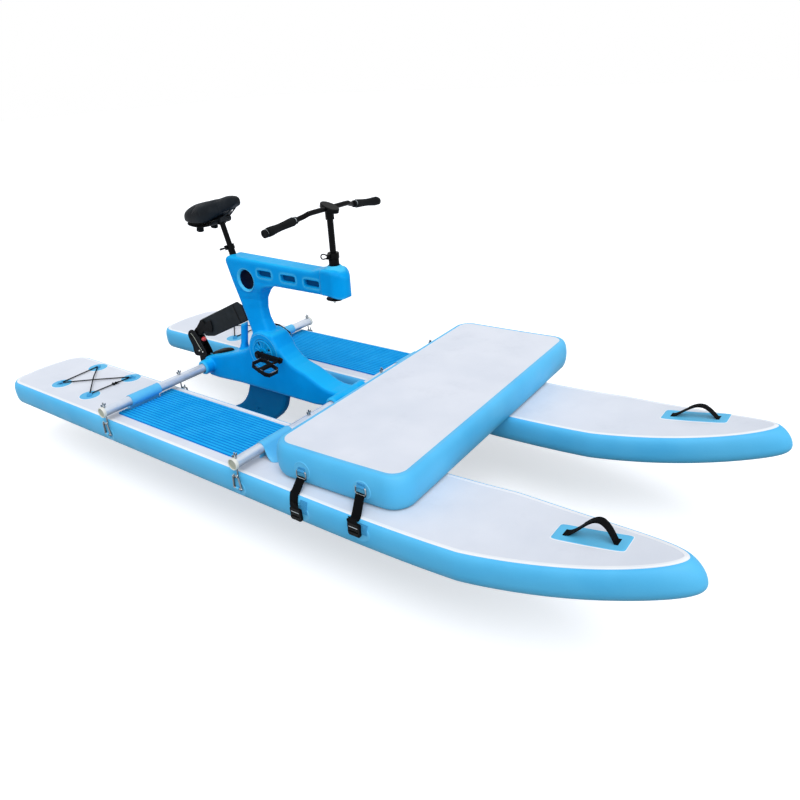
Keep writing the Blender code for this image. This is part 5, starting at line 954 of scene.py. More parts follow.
# %% Carry handles
def handle_parts(x0, x1, y0, side, rise, skew):
    """Arch height: rise times sin(pi t^skew) above the deck, between the two slots."""
    t = np.linspace(0, 1, 40)
    span = x1 - x0
    x = x0 + span * (0.18 + 0.64 * t)
    deck = HULL_DEPTH + rocker(x - side * HULL_STAGGER)
    z = deck + 0.0032 + rise * np.sin(np.pi * t**skew)
    arch = np.stack([x, np.full(40, y0), z], -1)
    ends = []
    for toward, tip in ((-1, arch[0]), (1, arch[-1])):
        run = np.linspace(0.012, 0.0, 4)[:, None] * np.array([[toward, 0, 0]]) + tip
        run[:, 2] = HULL_DEPTH + 0.0022 + rocker(run[:, 0] - side * HULL_STAGGER)
        ends.append(run if toward < 0 else run[::-1])
    path = np.vstack([ends[0][:-1], arch, ends[1][1:]])
    parts = [ribbon(path, (0, 1, 0), 0.038, 0.0030)]
    parts.append(ribbon(path[15:33] + (0, 0, 0.0026), (0, 1, 0), 0.034, 0.0030))
    centre = (x0 + x1) / 2
    # the slightly larger white patch under the blue one makes a thin outline: a painted highlight
    parts.append(coloured(patch(deck_wall, centre, y0, span / 2 + 0.003, 0.052, 0.0006, corner=0.16, spokes=96), 2))
    parts.append(coloured(patch(deck_wall, centre, y0, span / 2, 0.049, 0.0015, corner=0.16, spokes=96), 1))
    return parts


for label, side, feet, y0, rise, skew in (("starboard", -1, (1.774, 2.030), -0.4665, 0.072, 1.45),
                                          ("port", 1, (1.814, 2.085), 0.565, 0.052, 1.25)):
    piece(f"webbing_handle_{label}", "craft", handle_parts(*feet, y0, side, rise, skew),
          [black_webbing, handle_blue, tape_and_highlight_white], [f"carry_handle_{label}"])

# %% [markdown]
# ## Deck cord
# One elastic cord, 6 mm thick, laced over four anchors on the stern deck and tied in a knot. An anchor is a
# round patch with a webbing tab, and the cord lies under the tab.

# %% Deck cords
CORD_R, CORD_LOW = 0.0032, 0.1275
for label, anchors in (("starboard", [(-1.117, -0.587), (-1.144, -0.346), (-0.831, -0.595), (-0.830, -0.341)]),
                       ("port", [(-1.062, 0.630), (-1.062, 0.387), (-0.782, 0.630), (-0.782, 0.387)])):
    spots = np.array(anchors)
    before, after = unit(np.roll(spots, 1, 0) - spots), unit(np.roll(spots, -1, 0) - spots)
    turns = np.stack([spots + before * 0.016, spots + (before + after) * 0.004, spots + after * 0.016], 1)
    lifts = {1: 0.0105, 3: 0.0015}
    route = []
    for i in range(4):
        route += [(*p, CORD_LOW) for p in turns[i]]
        across = np.roll(spots, -1, 0)[i] - spots[i]
        for share, up_share in ((0.30, 0.65), (0.45, 1.0), (0.55, 1.0), (0.70, 0.65)):
            route.append((*(spots[i] + across * share), CORD_LOW + lifts.get(i, 0.0) * up_share))
    parts = [tube(smooth_path(route, 320, True), CORD_R, sides=10, closed=True)]
    middle = spots.mean(axis=0)
    for x, y in anchors:
        # the slightly larger white patch under each anchor patch makes a thin outline: a painted highlight
        parts.append(coloured(patch(deck_wall, x, y, 0.057, 0.057, 0.0005), 3))
        parts.append(coloured(patch(deck_wall, x, y, 0.054, 0.054), 1))
        inward = unit(middle - (x, y))
        run, lift = mm([(-24, 1.2), (-12, 1.6), (-4, 8.5), (3, 8.8), (10.5, 1.6)]).T
        tab = np.stack([x + inward[0] * run, y + inward[1] * run, 0.1216 + lift], -1)
        parts.append(coloured(ribbon(smooth_path(tab, 24), (-inward[1], inward[0], 0), 0.026, 0.0014), 2))
    knot_at = spots[2] + (spots[3] - spots[2]) * 0.62
    along = unit(spots[3] - spots[2])
    s = around(60)
    knot = np.stack([knot_at[0] + along[0] * 0.016 * np.sin(s) - along[1] * 0.0065 * np.sin(2 * s),
                     knot_at[1] + along[1] * 0.016 * np.sin(s) + along[0] * 0.0065 * np.sin(2 * s),
                     0.1290 + 0.0035 * np.cos(3 * s) + 0 * s], -1)
    parts.append(tube(knot, 0.0034, sides=10, closed=True))
    piece(f"bungee_{label}", "craft", parts, [black_rope, patch_blue, blue_webbing, tape_and_highlight_white],
          [f"deck_cord_{label}"])

# %% [markdown]
# ## The moulded frame
# Powder fuses against a warm turning mould, so a rotation-moulded shell has no sharp edge anywhere. A copy of
# the solid is merged, covered with an even net of small quads and relaxed: every point moves halfway to the
# mean of its neighbours, a few times over. That rounds the edges by about 4 mm and leaves the panels flat.
# The head steps out a little from the arm and narrows to its front, and its top falls away round the collar.


# %% Frame skin
def softened(source, name, body, net_mm, rounds, material):
    """Merged copy of a solid on an even net of this size, relaxed this many times."""
    mesh = nodes[source].data.copy()
    shell = bmesh.new()
    shell.from_mesh(mesh)
    bmesh.ops.transform(shell, matrix=nodes[source].matrix_world, verts=shell.verts)
    bmesh.ops.remove_doubles(shell, verts=shell.verts, dist=MERGE)
    shell.to_mesh(mesh)
    shell.free()
    made = bpy.data.objects.new(name, mesh)
    bpy.context.scene.collection.objects.link(made)
    even = netted(made, net_mm, rounds)
    even.materials.clear()
    even.materials.append(material)
    even.shade_smooth()
    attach(made, body)
    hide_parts(source)
    return made


def rise_between(value, low, high):
    """Smooth step from 0 at low to 1 at high: 3 t^2 - 2 t^3."""
    t = ((value - low) / (high - low)).clip(0, 1)
    return t * t * (3 - 2 * t)


made = softened("main_frame", "frame_skin", "craft", 4.0, 4, shell_blue)
spots = places(made.data)
x, z = spots[:, 0], spots[:, 2]
in_head = rise_between(x, 0.412, 0.446) * rise_between(z, 0.60, 0.62)
ring = np.hypot(x - STEER_X, spots[:, 1])
cheek = rise_between(x, 0.414, 0.423) * rise_between(z, 0.60, 0.62)
spots[:, 1] *= 1 + (0.02 * in_head + 0.11 * cheek) * (1 - rise_between(-ring, -0.034, -0.030))
spots[:, 1] *= 1 - 0.30 * rise_between(x, 0.480, 0.530) * in_head
spots[:, 2] -= 0.010 * rise_between(x, 0.455, 0.520) * rise_between(-z, -0.78, -0.70) * in_head
spots[:, 2] -= 0.026 * rise_between(ring, 0.036, 0.090) * rise_between(z, 0.74, 0.80) * rise_between(x, 0.44, 0.50)
made.data.vertices.foreach_set("co", spots.ravel())
made.data.update()
print(made.name, len(made.data.polygons))

# %% [markdown]
# ## Pocket frames and collar
# The arm has three pockets and a round hole on each side. Each is lined: a crisp frame with a rounded lip stands in
# the opening, and the dark liner behind it is painted shade. The lip is a lighter blue, a painted highlight. A
# raised ring closes the head round the steering tube.


# %% Pocket frames
HOLE_X, HOLE_Z = -0.083, 0.702
parts = []
for side in (-1, 1):
    for at in ((0.055, 0.748), (0.213, 0.745), (0.3625, 0.7415)):
        parts.append(plate(oval(at, 0.0510, 0.0210, 64, 0.30), side, 0.0380, 0.0560, 0.0016, 1, wall=0.0060))
        # the thin lighter lip round each pocket is a painted highlight
        parts.append(plate(oval(at, 0.0514, 0.0214, 64, 0.30), side, 0.0540, 0.0564, 0.0006, 2, wall=0.0016))
        # the dark floor behind each pocket is painted shade
        parts.append(plate(oval(at, 0.0475, 0.0175, 48, 0.30), side, 0.0370, 0.0392, 0.0006, 3))
    # the bevel round the hole is in the lighter blue: a painted highlight
    bevel = mm([(50, 44), (58.8, 53), (60.2, 55.6), (58.8, 56.4), (57.4, 55.6), (49.2, 47.4), (48.6, 44)])
    parts.append(coloured(turned(bevel, (HOLE_X, 0, HOLE_Z), (0, side, 0), 72), 2))
# the dark lining of the round hole is painted shade
well = mm([(49.4, -45), (49.4, 45), (47.8, 45), (47.8, -45), (49.4, -45)])
parts.append(turned(well, (HOLE_X, 0, HOLE_Z), (0, 1, 0), 72))
piece("pocket_frames", "craft", parts, [hole_shade_navy, cover_blue, highlight_lip_blue, pocket_shade_blue])
collar = mm([(23.6, 812), (23.6, 825.2), (25.2, 826.6), (29.2, 826.6), (31.2, 825), (31.8, 820.5), (33, 813),
             (35.2, 806), (40, 799), (47, 793)])
piece("head_collar", "craft", [turned(collar, (STEER_X, 0, 0), (0, 0, 1), 56)], [shell_blue],
      angle=60)

# %% [markdown]
# ## Gear covers
# The round cover is dished: a lip runs round its dish, thin ribs stiffen it from the boss to the lip, and small
# slots between them let water out. Lip and ribs are a lighter blue, a painted highlight, and each slot is a thin
# dark plate that stands for the shade inside it. Lip, ribs and slots sit on the cover's own face.


# %% Cover details
RIBS = 12
CRANK_X, CRANK_Z, CRANK_REACH = -0.020, 0.331, 0.150
HUB = np.array((CRANK_X, CRANK_Z))
for label, side in SIDES:
    # the cover's lip rings and ribs in the lighter blue are a painted highlight
    parts = [plate(oval(HUB, 0.0665, 0.0665, 72), side, 0.0655, 0.0705, 0.0012, 2, wall=0.0036),
             plate(oval(HUB, 0.0990, 0.0990, 96), side, 0.0650, 0.0672, 0.0009, 2, wall=0.0030)]
    slots = []
    for number in range(RIBS):
        out, across = heading(12 + number * 360 / RIBS)
        rib = HUB + mm([(27, -1.1), (58.5, -1.1), (58.5, 1.1), (27, 1.1)]) @ (out, across)
        parts.append(plate(rib, side, 0.0655, 0.0685, 0.0005, 2))
        if number % 3 == 0:
            # painted shade: each slot is a thin black plate that stands for the shade inside it
            out, across = heading(12 + (number + 0.5) * 360 / RIBS)
            hole = oval((0.0, 0.0), 0.0085, 0.0040, 16, 0.5) @ (out, across) + HUB + out * 0.0500
            slots.append(plate(hole, side, 0.0655, 0.0664, 0.0003, 1))
    piece(f"cover_ribs_{label}", "craft", parts + slots, [cover_blue, black_rubber, highlight_lip_blue])
    cap = turned(mm([(0, 110), (8.5, 110), (9.8, 108.8), (10.2, 107.8), (20.5, 107.6), (22.2, 105.5),
                     (22.2, 96), (20.5, 94.5)]), (HUB[0], 0, HUB[1]), (0, side, 0), 40)
    piece(f"crank_cap_{label}", "crank", [cap], [black_nylon])

# %% [markdown]
# ## Pedals
# A moulded pedal: a cage with cut corners, a round barrel across it, and a row of grip pins along its front
# and rear edges. It is drawn flat about its spindle and then tipped, as it hangs.

# %% Pedals
for label, side, tip in (("starboard", -1, 20.0), ("port", 1, 22.0)):
    middle = np.array((CRANK_X - side * CRANK_REACH, side * 0.200, CRANK_Z))
    cage = mm([(-62, -27), (-44, -43.5), (42, -43.5), (62, -30), (62, 27), (44, 43.5), (-42, 43.5), (-62, 30)])
    rim = np.concatenate([np.linspace(cage[i], cage[(i + 1) % 8], 4)[:3] for i in range(8)])
    parts = [hollow(rim, 0.0085, -0.0105, 0.0105, 0.0018)]
    parts.append(turned(mm([(0, -44), (11, -44), (13.5, -42), (13.5, -34), (11.8, -30), (11.8, 30), (13.5, 34),
                            (13.5, 41), (11, 43), (0, 43)]),
                        (0, 0, 0), (0, 1, 0), 24))
    # Three small steel strips on the cage rim are painted glints.
    for u, v, half_u, half_v in mm([(-58.5, 0, 1.4, 18), (0, -40, 22, 1.4), (58.5, 0, 1.4, 18)]):
        strip = oval((u, v), half_u, half_v, 20, 0.4)
        parts.append(coloured(slab(strip, 0.0095, 0.0112, 0.0004), 1))
    pins = [(x, y) for x in (-0.0575, 0.0575) for y in (-0.024, -0.008, 0.008, 0.024)]
    pins += [(x, y) for x in (-0.020, 0.020) for y in (-0.0385, 0.0385)]
    for x, y in pins:
        parts.append(coloured(turned(mm([(0, -13.5), (1.6, -13.5), (1.6, 13.5), (0, 13.5)]), (x, y, 0), (0, 0, 1),
                                     8), 1))
    turn = math.radians(tip)
    spin = np.array([(math.cos(turn), 0, math.sin(turn)), (0, 1, 0), (-math.sin(turn), 0, math.cos(turn))])
    parts = [(part[0] @ spin.T + middle, *part[1:]) for part in parts]
    body = "pedal_right" if side < 0 else "pedal_left"
    piece(f"caged_{label}", body, parts, [black_nylon, steel_wire], [f"pedal_{label}"])
    eye = turned(mm([(0, 0), (8.8, 0), (9.6, 1.5), (9.6, 8.5), (0, 8.5)]),
                 (middle[0], side * 0.0845, CRANK_Z), (0, side, 0), 6)
    end_ring = turned(mm([(7, 107.5), (14.5, 107.6), (16, 106), (16, 95.5), (14.5, 94)]),
                      (middle[0], 0, CRANK_Z), (0, side, 0), 36)
    piece(f"pedal_nut_{label}", "crank", [eye, coloured(end_ring, 1)], [dark_steel, black_nylon])

# %% [markdown]
# ## Saddle
# A wide comfort saddle: two rounded rear lobes, a waist and a short nose, over deep skirts that hide the
# base. Each section across is a superellipse, |y/w|^2.8 + |z/h|^2.8 = 1, narrower at its lower edge. The
# cover is stretched over foam, so it is blown up as cloth from a slightly smaller start.

# %% Saddle form
def seat_line(x):
    """Height of the saddle's top line, which rises 12.8 degrees towards the nose."""
    return 1.098 + math.tan(math.radians(12.8)) * (x + 0.151)


stations = mm([(-450, 52, 30, 44), (-444, 74, 18, 66), (-430, 89, 7, 88), (-405, 96, 1, 106),
               (-370, 99, -1, 120), (-335, 99, 0, 128), (-305, 96, 1, 131), (-280, 88, 3, 129),
               (-260, 76, 4, 120), (-243, 61, 4, 107), (-220, 48, 3, 95), (-185, 40, 2, 86), (-155, 36, 5, 76),
               (-133, 30, 12, 62), (-118, 18, 23, 36)])
even = smooth_path(stations, 60)
even[:, 1:] = np.maximum(even[:, 1:], 0.0)
tip_rows = np.vstack([even[:1] * (1, 0.02, 1, 0.02) + (-0.0005, 0, 0.013, 0), even,
                      even[-1:] * (1, 0.02, 1, 0.02) + (0.0012, 0, 0.012, 0)])
x, half, drop, deep = (tip_rows[:, i:i + 1] for i in range(4))
top = seat_line(x) - drop
a = around(56)[None]
c, s = np.cos(a), np.sin(a)
power = 2 / 2.8
y = half * signed(c, power) * np.where(s < 0, 1 - 0.07 * np.abs(s), 1.0)
z = top - deep / 2 + deep / 2 * signed(s, power)
channel = 0.0045 * np.exp(-(y / 0.016) ** 2) * np.clip((-0.19 - x) / 0.08, 0, 1) * (s > 0)
belly = 0.30 * deep * (s < 0) * (1 - (np.abs(y) / np.maximum(half, 1e-4)).clip(0, 1) ** 3)
grid = np.stack([x + 0 * y, y, z - channel + belly], -1)
saddle = piece("saddle_cover", "seat", [(grid, False, True, 0)], [saddle_leather], ["saddle"], angle=80)
print(saddle.name, len(saddle.data.polygons), top.max())


# %% [markdown]
# ## Blowing up a cover
# The cover becomes an even net and then cloth, held where it is stapled to the base and pushed out from
# inside with no gravity. How far a point may move is capped, so the shape stays the saddle's.

# %% Cloth
CLOTH_FRAMES = 20


def puffed(made, net_mm, pressure, most_mm, held):
    """Some frames of cloth under pressure. No point moves farther than the cap, and faces are divided once."""
    even = netted(made, net_mm)
    before = after = places(even)
    group = made.vertex_groups.new(name="stapled")
    group.add(np.flatnonzero(held(before)).tolist(), 1.0, "REPLACE")
    cloth = made.modifiers.new("cover", "CLOTH")
    cloth.settings.quality, cloth.settings.mass, cloth.settings.use_pressure = 6, 0.25, True
    cloth.settings.uniform_pressure_force = pressure
    cloth.settings.effector_weights.gravity = 0.0
    cloth.settings.vertex_group_mass = group.name
    cloth.point_cache.frame_start, cloth.point_cache.frame_end = 1, CLOTH_FRAMES
    for number in range(1, CLOTH_FRAMES + 1):
        bpy.context.scene.frame_set(number)
    blown = made.evaluated_get(bpy.context.evaluated_depsgraph_get()).to_mesh()
    after = places(blown)
    made.evaluated_get(bpy.context.evaluated_depsgraph_get()).to_mesh_clear()
    made.modifiers.clear()
    made.vertex_groups.clear()
    bpy.context.scene.frame_set(1)
    move = after - before
    far = np.linalg.norm(move, axis=1, keepdims=True)
    move *= np.minimum(1, most_mm / 1000 / np.maximum(far, 1e-9))
    even.vertices.foreach_set("co", (before + move).ravel())
    even.update()
    even.shade_smooth()
    finer = made.modifiers.new("finer", "SUBSURF")
    finer.levels = finer.render_levels = 1
    return far.max() * 1000


moved = puffed(saddle, 4.5, 4.0, 4.5, lambda p: p[:, 2] < seat_line(p[:, 0]) - 0.066)
print("saddle moved by up to", round(float(moved), 1), "mm,", len(saddle.data.polygons), "faces")

# %% [markdown]
# ## Under the saddle
# A hard black base closes the cover from below, and two soft bumpers stand under its rear corners.

# %% Saddle base
rows = smooth_path(stations[1:-5], 30)
x, half, drop, deep = (rows[:, i:i + 1] for i in range(4))
low = seat_line(x) - drop - deep * 0.86
a = around(44)[None]
grid = np.stack([x + 0 * a, half * 0.86 * signed(np.cos(a), 0.5), low + 0.0035 * signed(np.sin(a), 0.5)], -1)
middle = grid.mean(axis=1, keepdims=True) + 0 * grid[:, :1]
ends = [np.broadcast_to(middle[i], grid[:1].shape) for i in (0, -1)]
grid = np.concatenate([ends[0], grid, ends[1]])
parts = [(grid, False, True, 0)]
for y in (-0.046, 0.046):
    foot = turned(mm([(0, 0), (16, 0), (18.5, 3), (17, 30), (0, 30)]), (-0.378, y, 0.916), (0.22, 0, 1), 24)
    parts.append(foot)
piece("saddle_base", "seat", parts, [black_rubber])

# %% [markdown]
# ## Grips
# Lock-on rubber grips. The round sleeve swells to a flat rest for the palm near its outer end. Silver lock
# rings hold it at both ends, with a black plug outside.

# %% Grips
for label, side in SIDES:
    start_at, end_at = np.array((0.444, side * 0.189, 1.061)), np.array((0.441, side * 0.377, 1.041))
    ahead = unit(end_at - start_at)
    rear = unit(np.cross(ahead, (0, 0, 1.0)) * side)
    over = np.cross(rear, ahead) * side
    t = mm([15, 17.2, 20, 40, 70, 100, 120, 140, 155, 165, 170, 171.5])
    size = mm([12, 18, 18.8, 18, 16.6, 16, 16.8, 18.2, 19, 19, 18, 12])
    palm = mm([0, 0, 0, 0, 0.5, 2, 4.5, 8, 10, 9, 6, 2])
    fine = np.linspace(t[0], t[-1], 60)
    size, palm = np.interp(fine, t, size), np.interp(fine, t, palm)
    fine = np.concatenate([fine[:1], fine, fine[-1:]])
    size, palm = np.concatenate([[0.009], size, [0.009]]), np.concatenate([[0], palm, [0]])
    a = around(40)
    toward = (np.cos(a) * 0.9 + np.sin(a) * 0.35).clip(0) ** 1.6
    reach = size[:, None] + palm[:, None] * toward[None]
    grid = (start_at + fine[:, None, None] * ahead
            + reach[..., None] * (np.cos(a)[None, :, None] * rear + np.sin(a)[None, :, None] * over))
    parts = [(grid, False, True, 0)]
    for profile, number in ((mm([(11.2, 0), (15.2, 0), (15.8, 1), (15.8, 8.5), (11.2, 8.5)]), 0),
                            (mm([(11.2, 10), (16.2, 10), (16.5, 10.6), (16.5, 13.4), (11.2, 14)]), 1),
                            (mm([(11.2, 173.5), (17.2, 173.5), (17.6, 174.1), (17.6, 176.6), (11.2, 177.2)]), 1),
                            (mm([(0, 186), (7.5, 186), (8.5, 188.5), (15, 188.5), (17.2, 186.5), (17.2, 178.5),
                                 (11.2, 178.5)]), 0)):
        parts.append(coloured(turned(profile, start_at, ahead, 32), number))
    piece(f"palm_grip_{label}", "bar", parts, [black_rubber, steel_wire], [f"grip_{label}"])

# %% [markdown]
# ## Clamp levers
# The seat's quick-release lever is a thin curved paddle on a round eye. It leaves its pin, bows out round the
# clamp and comes back in at its tip, where a finger gets behind it. The bar's lever is open, a rod bent to a D.


# %% Levers
LEVER_MM = 51


def lever_parts(pin, upward, along, outward):
    """Paddle path (u, v) = along and outward from the pin, 3 mm thick, widest at two thirds."""
    pin, upward, along, outward = (np.asarray(v, float) for v in (pin, upward, along, outward))
    flat = mm([(2, 6), (12, 9.5), (24, 11), (36, 8.5), (45, 2), (LEVER_MM, -5)])
    path = smooth_path(pin + flat[:, :1] * along + flat[:, 1:] * outward, 26)
    share = np.linspace(0, 1, len(path))
    swell = 0.75 + 0.25 * np.sin(np.pi * np.minimum(share * 1.1, 1))
    wide = 0.0105 * swell * np.sqrt(1 - (share.clip(0.85) - 0.85) ** 2 / 0.03)
    ahead = unit(np.gradient(path, axis=0))
    normal = unit(np.cross(ahead, upward))
    a = around(14)
    section = signed(np.cos(a), 0.5), signed(np.sin(a), 0.5)
    body = (path[:, None] + wide[:, None, None] / 2 * section[0][None, :, None] * upward
            + 0.0015 * section[1][None, :, None] * normal[:, None])
    centres = path[:, None] + 0 * body
    body = np.concatenate([centres[:1], body, centres[-1:]])
    eye = turned(mm([(0, -6.8), (5.5, -6.8), (6.3, -6), (6.3, 6), (5.5, 6.8), (0, 6.8)]),
                 pin, upward, 24)
    nut = turned(mm([(0, 6.8), (4, 6.8), (4, 9.2), (0, 9.6)]), pin, upward, 12)
    return [(body, False, True, 0), eye, coloured(nut, 1)]


def loop_lever_parts(pin, upward, along, outward):
    """Open lever: a rod bent to a D, 38 mm long and 22 mm high, on a round eye."""
    pin, upward, along, outward = (np.asarray(v, float) for v in (pin, upward, along, outward))
    flat = mm([(3, 4.5), (14, 10.5), (28, 9.5), (37, 1.5), (37, -6.5), (30, -11.5), (17, -10), (4, -4.5)])
    bow = 0.006 + 0.004 * np.sin(np.pi * flat[:, :1] / 0.05)
    path = smooth_path(pin + flat[:, :1] * along + flat[:, 1:] * upward + bow * outward, 48, True)
    rod = tube(path, 0.0030, beside=outward, sides=10, closed=True)
    return [rod, *lever_parts(pin, upward, along, outward)[1:]]


# %% [markdown]
# ## Steering tube
# Over the head the tube ends in a plain clamp body with a split lug for the lever. Below the head it ends in a
# wide screwed cap on an oval stop plate, with a small pale plug.

# %% Steering tube
profile = mm([(0, 663), (22, 663), (24, 665), (24, 674), (22, 675.5), (17, 676), (17, 826.8), (22.2, 827),
              (23.6, 829), (23.6, 854), (22.2, 856), (25.5, 858), (26.6, 861), (26.6, 880), (25.5, 883.5),
              (15, 885), (15, 870)])
lug = oval((STEER_X, -0.0325), 0.0085, 0.0120, 24, 0.5)
stop = oval((0.4470, -0.0080), 0.0350, 0.0290, 44, 0.9)
plug = mm([(0, 656), (5.2, 656.5), (6.2, 665.2), (0, 665.2)])
parts = [turned(profile, (STEER_X, 0, 0), (0, 0, 1), 40), slab(lug, 0.8610, 0.8645, 0.0008),
         slab(lug, 0.8785, 0.8820, 0.0008), slab(stop, 0.6650, 0.6745, 0.0016),
         coloured(turned(plug, (0.464, -0.022, 0), (0, 0, 1), 20), 1)]
piece("steering_tube", "steering", parts, [black_anodised, cap_cream], ["steerer_tube"])
print("lever shapes ready")

# %% Seat lever and bar lever
lean = math.radians(16.0)
for name, body, pin, upward, along in (
        ("seat_paddle", "seat_lever", (-0.2231, -0.0305, 0.8423), (-math.sin(lean), 0, math.cos(lean)),
         (-math.cos(lean), 0, -math.sin(lean))),
        ("bar_paddle", "bar_lever", (STEER_X, -0.0325, 0.8715), (0, 0, 1), (-1, 0, 0))):
    solid = "seat_clamp_lever" if name.startswith("seat") else "bar_clamp_lever"
    shape = (lever_parts(pin, upward, along, (0, -1, 0)) if name.startswith("seat")
             else loop_lever_parts(pin, upward, along, (0, -1, 0)))
    piece(name, body, shape, [black_nylon, dark_steel], [solid])

# %% [markdown]
# ## Rudder fittings
# The folded blade has a moulded band near its end, and ribs and four thin plates stiffen its neck. The fork has
# bolt heads on its starboard cheek, a split ring hangs at the neck, and the locking pin ends in a red ball.

# %% Rudder details
fold = np.array((-0.662, 0.292))
out, over = heading(25.0)
parts = []
for low_s, high_s, low_t, high_t, thick in mm([(452, 459, -54, 56, 8.2), (20, 98, 9.5, 13, 14),
                                               (20, 98, -13, -9.5, 14), (88, 112, -12, 12, 14)]):
    strip = np.array([(low_s, low_t), (high_s, low_t), (high_s, high_t), (low_s, high_t)]) @ (out, over) + fold
    parts.append(slab(strip, -thick, thick, 0.0010, "Y"))
piece("blade_ribs", "rudder", parts, [black_nylon])
head = mm([(2, 0), (4.5, 0), (4.5, 2.5), (3.5, 4), (1.8, 4), (1.8, 2.2), (0, 2.2)])
bolts = [turned(head, (x, -0.0225, z), (0, -1, 0), 16) for x, z in ((-0.602, 0.216), (-0.574, 0.214))]
piece("fork_bolts", "rudder_fork", bolts, [cap_cream])
neck = mm([(-660, 302), (-650.2, 314), (-627.6, 324.6), (-615.4, 343.5), (-600, 356), (-574, 384), (-556, 404),
           (-540, 402), (-520, 388), (-500, 404), (-470, 410), (-470, 350), (-510, 344), (-546, 338),
           (-585, 322), (-628, 304), (-650, 290)])
neck = smooth_path(neck, 90, True)
parts = [slab(neck, y - 0.0018, y + 0.0018, 0.0008, "Y") for y in (-0.0120, -0.004, 0.004, 0.0120)]
core = smooth_path(neck[::6] * 0.86 + neck.mean(axis=0) * 0.14, 60, True)
parts.append(slab(core, -0.0112, 0.0112, 0.0010, "Y"))
piece("blade_neck", "rudder", parts, [black_nylon])
cheek = mm([(-678, 288), (-670, 316), (-642, 334), (-614, 330), (-592, 298), (-566, 252), (-546, 212),
            (-552, 196), (-628, 182), (-650, 192), (-656, 236)])
cheek = smooth_path(cheek, 66, True)
parts = []
for side in (-1, 1):
    parts.append(plate(cheek, side, 0.0193, 0.0222, 0.0008))
    line = np.stack([cheek[:, 0], np.full(66, side * 0.0224), cheek[:, 1]], -1)
    parts.append(coloured(tube(line, 0.0013, beside=(0, 1, 0), sides=8, closed=True), 1))
    # A pale cream line across each cheek is a painted highlight.
    groove = smooth_path(mm([(-652, 312), (-630, 292), (-606, 254), (-582, 222)]), 24)
    groove = np.stack([groove[:, 0], np.full(24, side * 0.0226), groove[:, 1]], -1)
    parts.append(coloured(tube(groove, 0.0014, beside=(0, 1, 0), sides=8), 2))
piece("fork_cheeks", "rudder_fork", parts, [black_nylon, dark_steel, cream_shade_and_glint])
s = around(44)
ring = np.stack([-0.520 + 0.0092 * np.cos(s), -0.0215 + 0.003 * np.sin(2 * s), 0.3300 + 0.0092 * np.sin(s)], -1)
ring = tube(ring, 0.0017, beside=(0, 1, 0), sides=8, closed=True)
piece("split_ring", "rudder", [ring], [dark_steel])
a = np.linspace(0, np.pi, 20)
ball = np.stack([0.0135 * np.sin(a), -0.0135 * np.cos(a)], -1)
lean_to = unit(np.array((-0.573 + 0.596, 0, 0.284 - 0.232)))
stem = mm([(0, -55), (4, -55), (4, -16), (5.8, -15.5), (5.8, -11.5)])
piece("lock_ball", "rudder_lock", [turned(ball, (-0.573, 0, 0.284), lean_to, 32),
                                   coloured(turned(stem, (-0.573, 0, 0.284), lean_to, 16), 1)],
      [knob_red, dark_steel], ["rudder_lock_knob"])

# %% [markdown]
# ## Hatch cover
# The lens on the rear top of the frame is a soft cover for the drain opening. It is a low cushion with
# pointed ends: height h (1 - |y/w|^3)^(1/3) over the sloping top, with a shallow band on each side of its
# middle.

# %% Hatch lens
ridge = mm([(-524, 203), (-434, 235), (-304, 269), (-202, 303)])
x = -0.4225 - 0.0985 * np.cos(np.linspace(0, np.pi, 40))[:, None]
t = (x + 0.4225) / 0.0985
w = np.maximum(0.036 * (1 - np.abs(t) ** 2.2), 0.0006)
h = np.maximum(0.015 * (1 - np.abs(t) ** 4), 0.0004)
v = np.linspace(-1, 1, 31)[None]
dome = (1 - np.abs(v) ** 3).clip(0) ** (1 / 3)
band = 0.0016 * ((np.abs(v) < 0.34) & (np.abs(v) > 0.10))
base = np.interp(x, ridge[:, 0], ridge[:, 1]) + 0.0004
top = np.stack([x + 0 * v, w * v, base + h * dome - band * (np.abs(t) < 0.9)], -1)
under = np.stack([x + 0 * v, w * v, base + 0 * v], -1)
piece("hatch_lens", "craft", [(top, False, False, 0), (under, False, False, 0)], [black_nylon],
      ["rear_hatch_cover"])

# %% [markdown]
# ## Solids that keep their shape
# The cross tubes, posts, bar, cranks, drive leg, bracket and rudder blade are already right as solids, so they
# only get their finishes. The solids that a piece above replaces get theirs too, for the plain model.

# %% Finishes of the solids
finishes = {}
for material, starts in (
        (shell_blue, "main_frame"),
        (cover_blue, "gear_cover"),
        (black_nylon, "rear_hatch_cover rudder_bracket propeller pedal rudder_yoke platform_strap "
                      "carry_handle deck_cord"),
        (leg_blue, "drive_leg"),
        (tube_aluminium, "cross_tube"),
        (cap_cream, "tube_cap"),
        (rail_seam, "tube_sleeve"),
        (steel_wire, "hook_bolt d_ring"),
        (dark_steel, "crank_axle crank_bevel_gear drive_shaft propeller_shaft saddle_clamp"),
        (black_anodised, "crank_arm seat_clamp seat_clamp_lever seat_post steerer_tube bar_post "
                         "bar_clamp_lever handlebar"),
        (saddle_leather, "saddle"),
        (black_rubber, "grip"),
        (blade_black, "rudder_blade"),
        (knob_red, "rudder_lock_knob"),
        (deck_white, "hull"),
        (pad_foam, "deck_pad"),
        (rail_blue, "bow_platform")):
    for key in starts.split():
        finishes[key] = material
for name, node in sorted(nodes.items()):
    kind = max((key for key in finishes if name.startswith(key)), key=len)
    node.data.materials.clear()
    node.data.materials.append(finishes[kind])
print("solids with a finish", len(nodes))

# %% [markdown]
# ## Light, floor and backdrop
# A pale dome lights everything evenly, and two wide soft lamps, one high and one low, give the rails their
# shade. The floor catches the shadow, and looks white to the camera by its own colour.

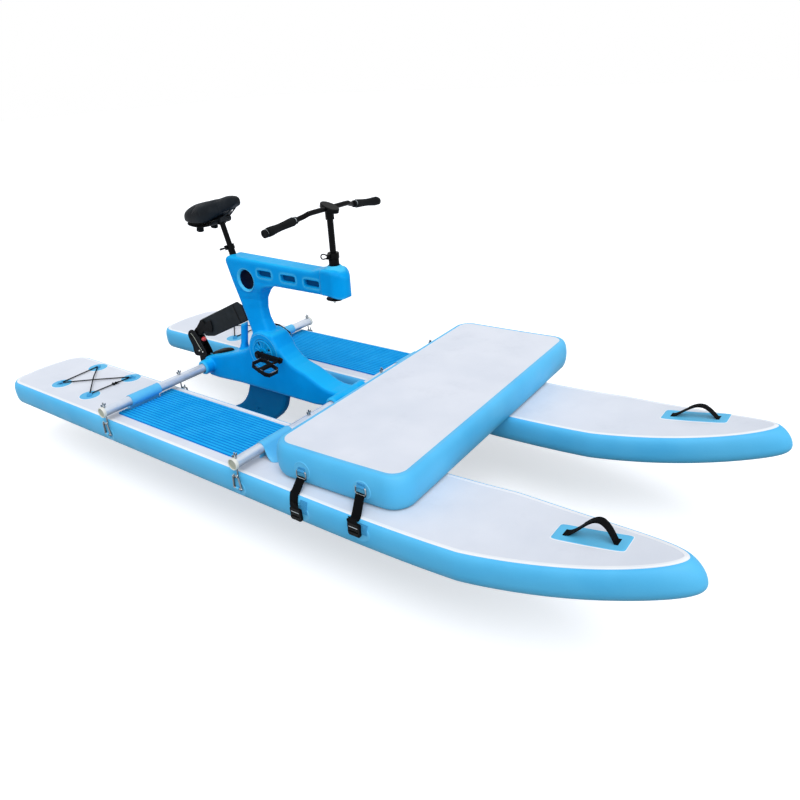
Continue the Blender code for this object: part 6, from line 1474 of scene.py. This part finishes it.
# %% Studio
def seen_share(tree):
    """1 on the rays that the camera follows, straight, mirrored or through something clear, and 0 on the rest."""
    rays = add(tree, "LightPath").outputs
    share = rays["Is Camera Ray"]
    for kind in ("Is Transmission Ray", "Is Glossy Ray"):
        share = add(tree, "Math", {"operation": "MAXIMUM"}, {0: rays[kind], 1: share}).outputs[0]
    return share


world = bpy.data.worlds.new("studio")
bpy.context.scene.world = world
world.use_nodes = True
tree = world.node_tree
tree.nodes.clear()
seen = seen_share(tree)
soft = add(tree, "Background", {"Color": linear("#F7FAFF"), "Strength": 0.58})
white = add(tree, "Background", {"Color": (1, 1, 1, 1), "Strength": 1.0})
choice = add(tree, "MixShader", {}, {0: seen, 1: soft.outputs[0], 2: white.outputs[0]})
add(tree, "OutputWorld", {}, {"Surface": choice.outputs[0]})

for name, energy, angle, turn in (("soft_sun", 1.20, 40, (28, 12, 35)), ("low_fill", 0.75, 70, (62, 0, 38))):
    lamp = bpy.data.lights.new(name, "SUN")
    lamp.energy, lamp.angle = energy, math.radians(angle)
    holder = bpy.data.objects.new(name, lamp)
    holder.rotation_euler = [math.radians(v) for v in turn]
    bpy.context.scene.collection.objects.link(holder)

floor_z = min(cad_box[0][2], -0.30) - 0.004
size = 40.0
floor_mesh = bpy.data.meshes.new("floor")
floor_mesh.from_pydata([(x * size, y * size, floor_z) for x, y in ((-1, -1), (1, -1), (1, 1), (-1, 1))],
                       [], [(0, 1, 2, 3)])
floor_paint, tree, shader = start("floor_white_paint", 0.9)
seen = seen_share(tree)
shade = add(tree, "Mix", {"data_type": "RGBA", 6: linear("#5E7074"), 7: linear("#E6E8EC")}, {0: seen})
tree.links.new(shade.outputs[2], shader.inputs["Base Color"])
glow = add(tree, "Emission", {"Color": (1, 1, 1, 1), "Strength": 0.50})
both = add(tree, "AddShader", {}, {0: shader.outputs[0], 1: glow.outputs[0]})
pick = add(tree, "MixShader", {}, {0: seen, 1: shader.outputs[0], 2: both.outputs[0]})
tree.links.new(pick.outputs[0], tree.nodes["Material Output"].inputs["Surface"])
floor_mesh.materials.append(floor_paint)
floor = bpy.data.objects.new("floor", floor_mesh)
bpy.context.scene.collection.objects.link(floor)
bpy.context.scene.view_settings.view_transform = "Standard"
print("floor at", floor_z)
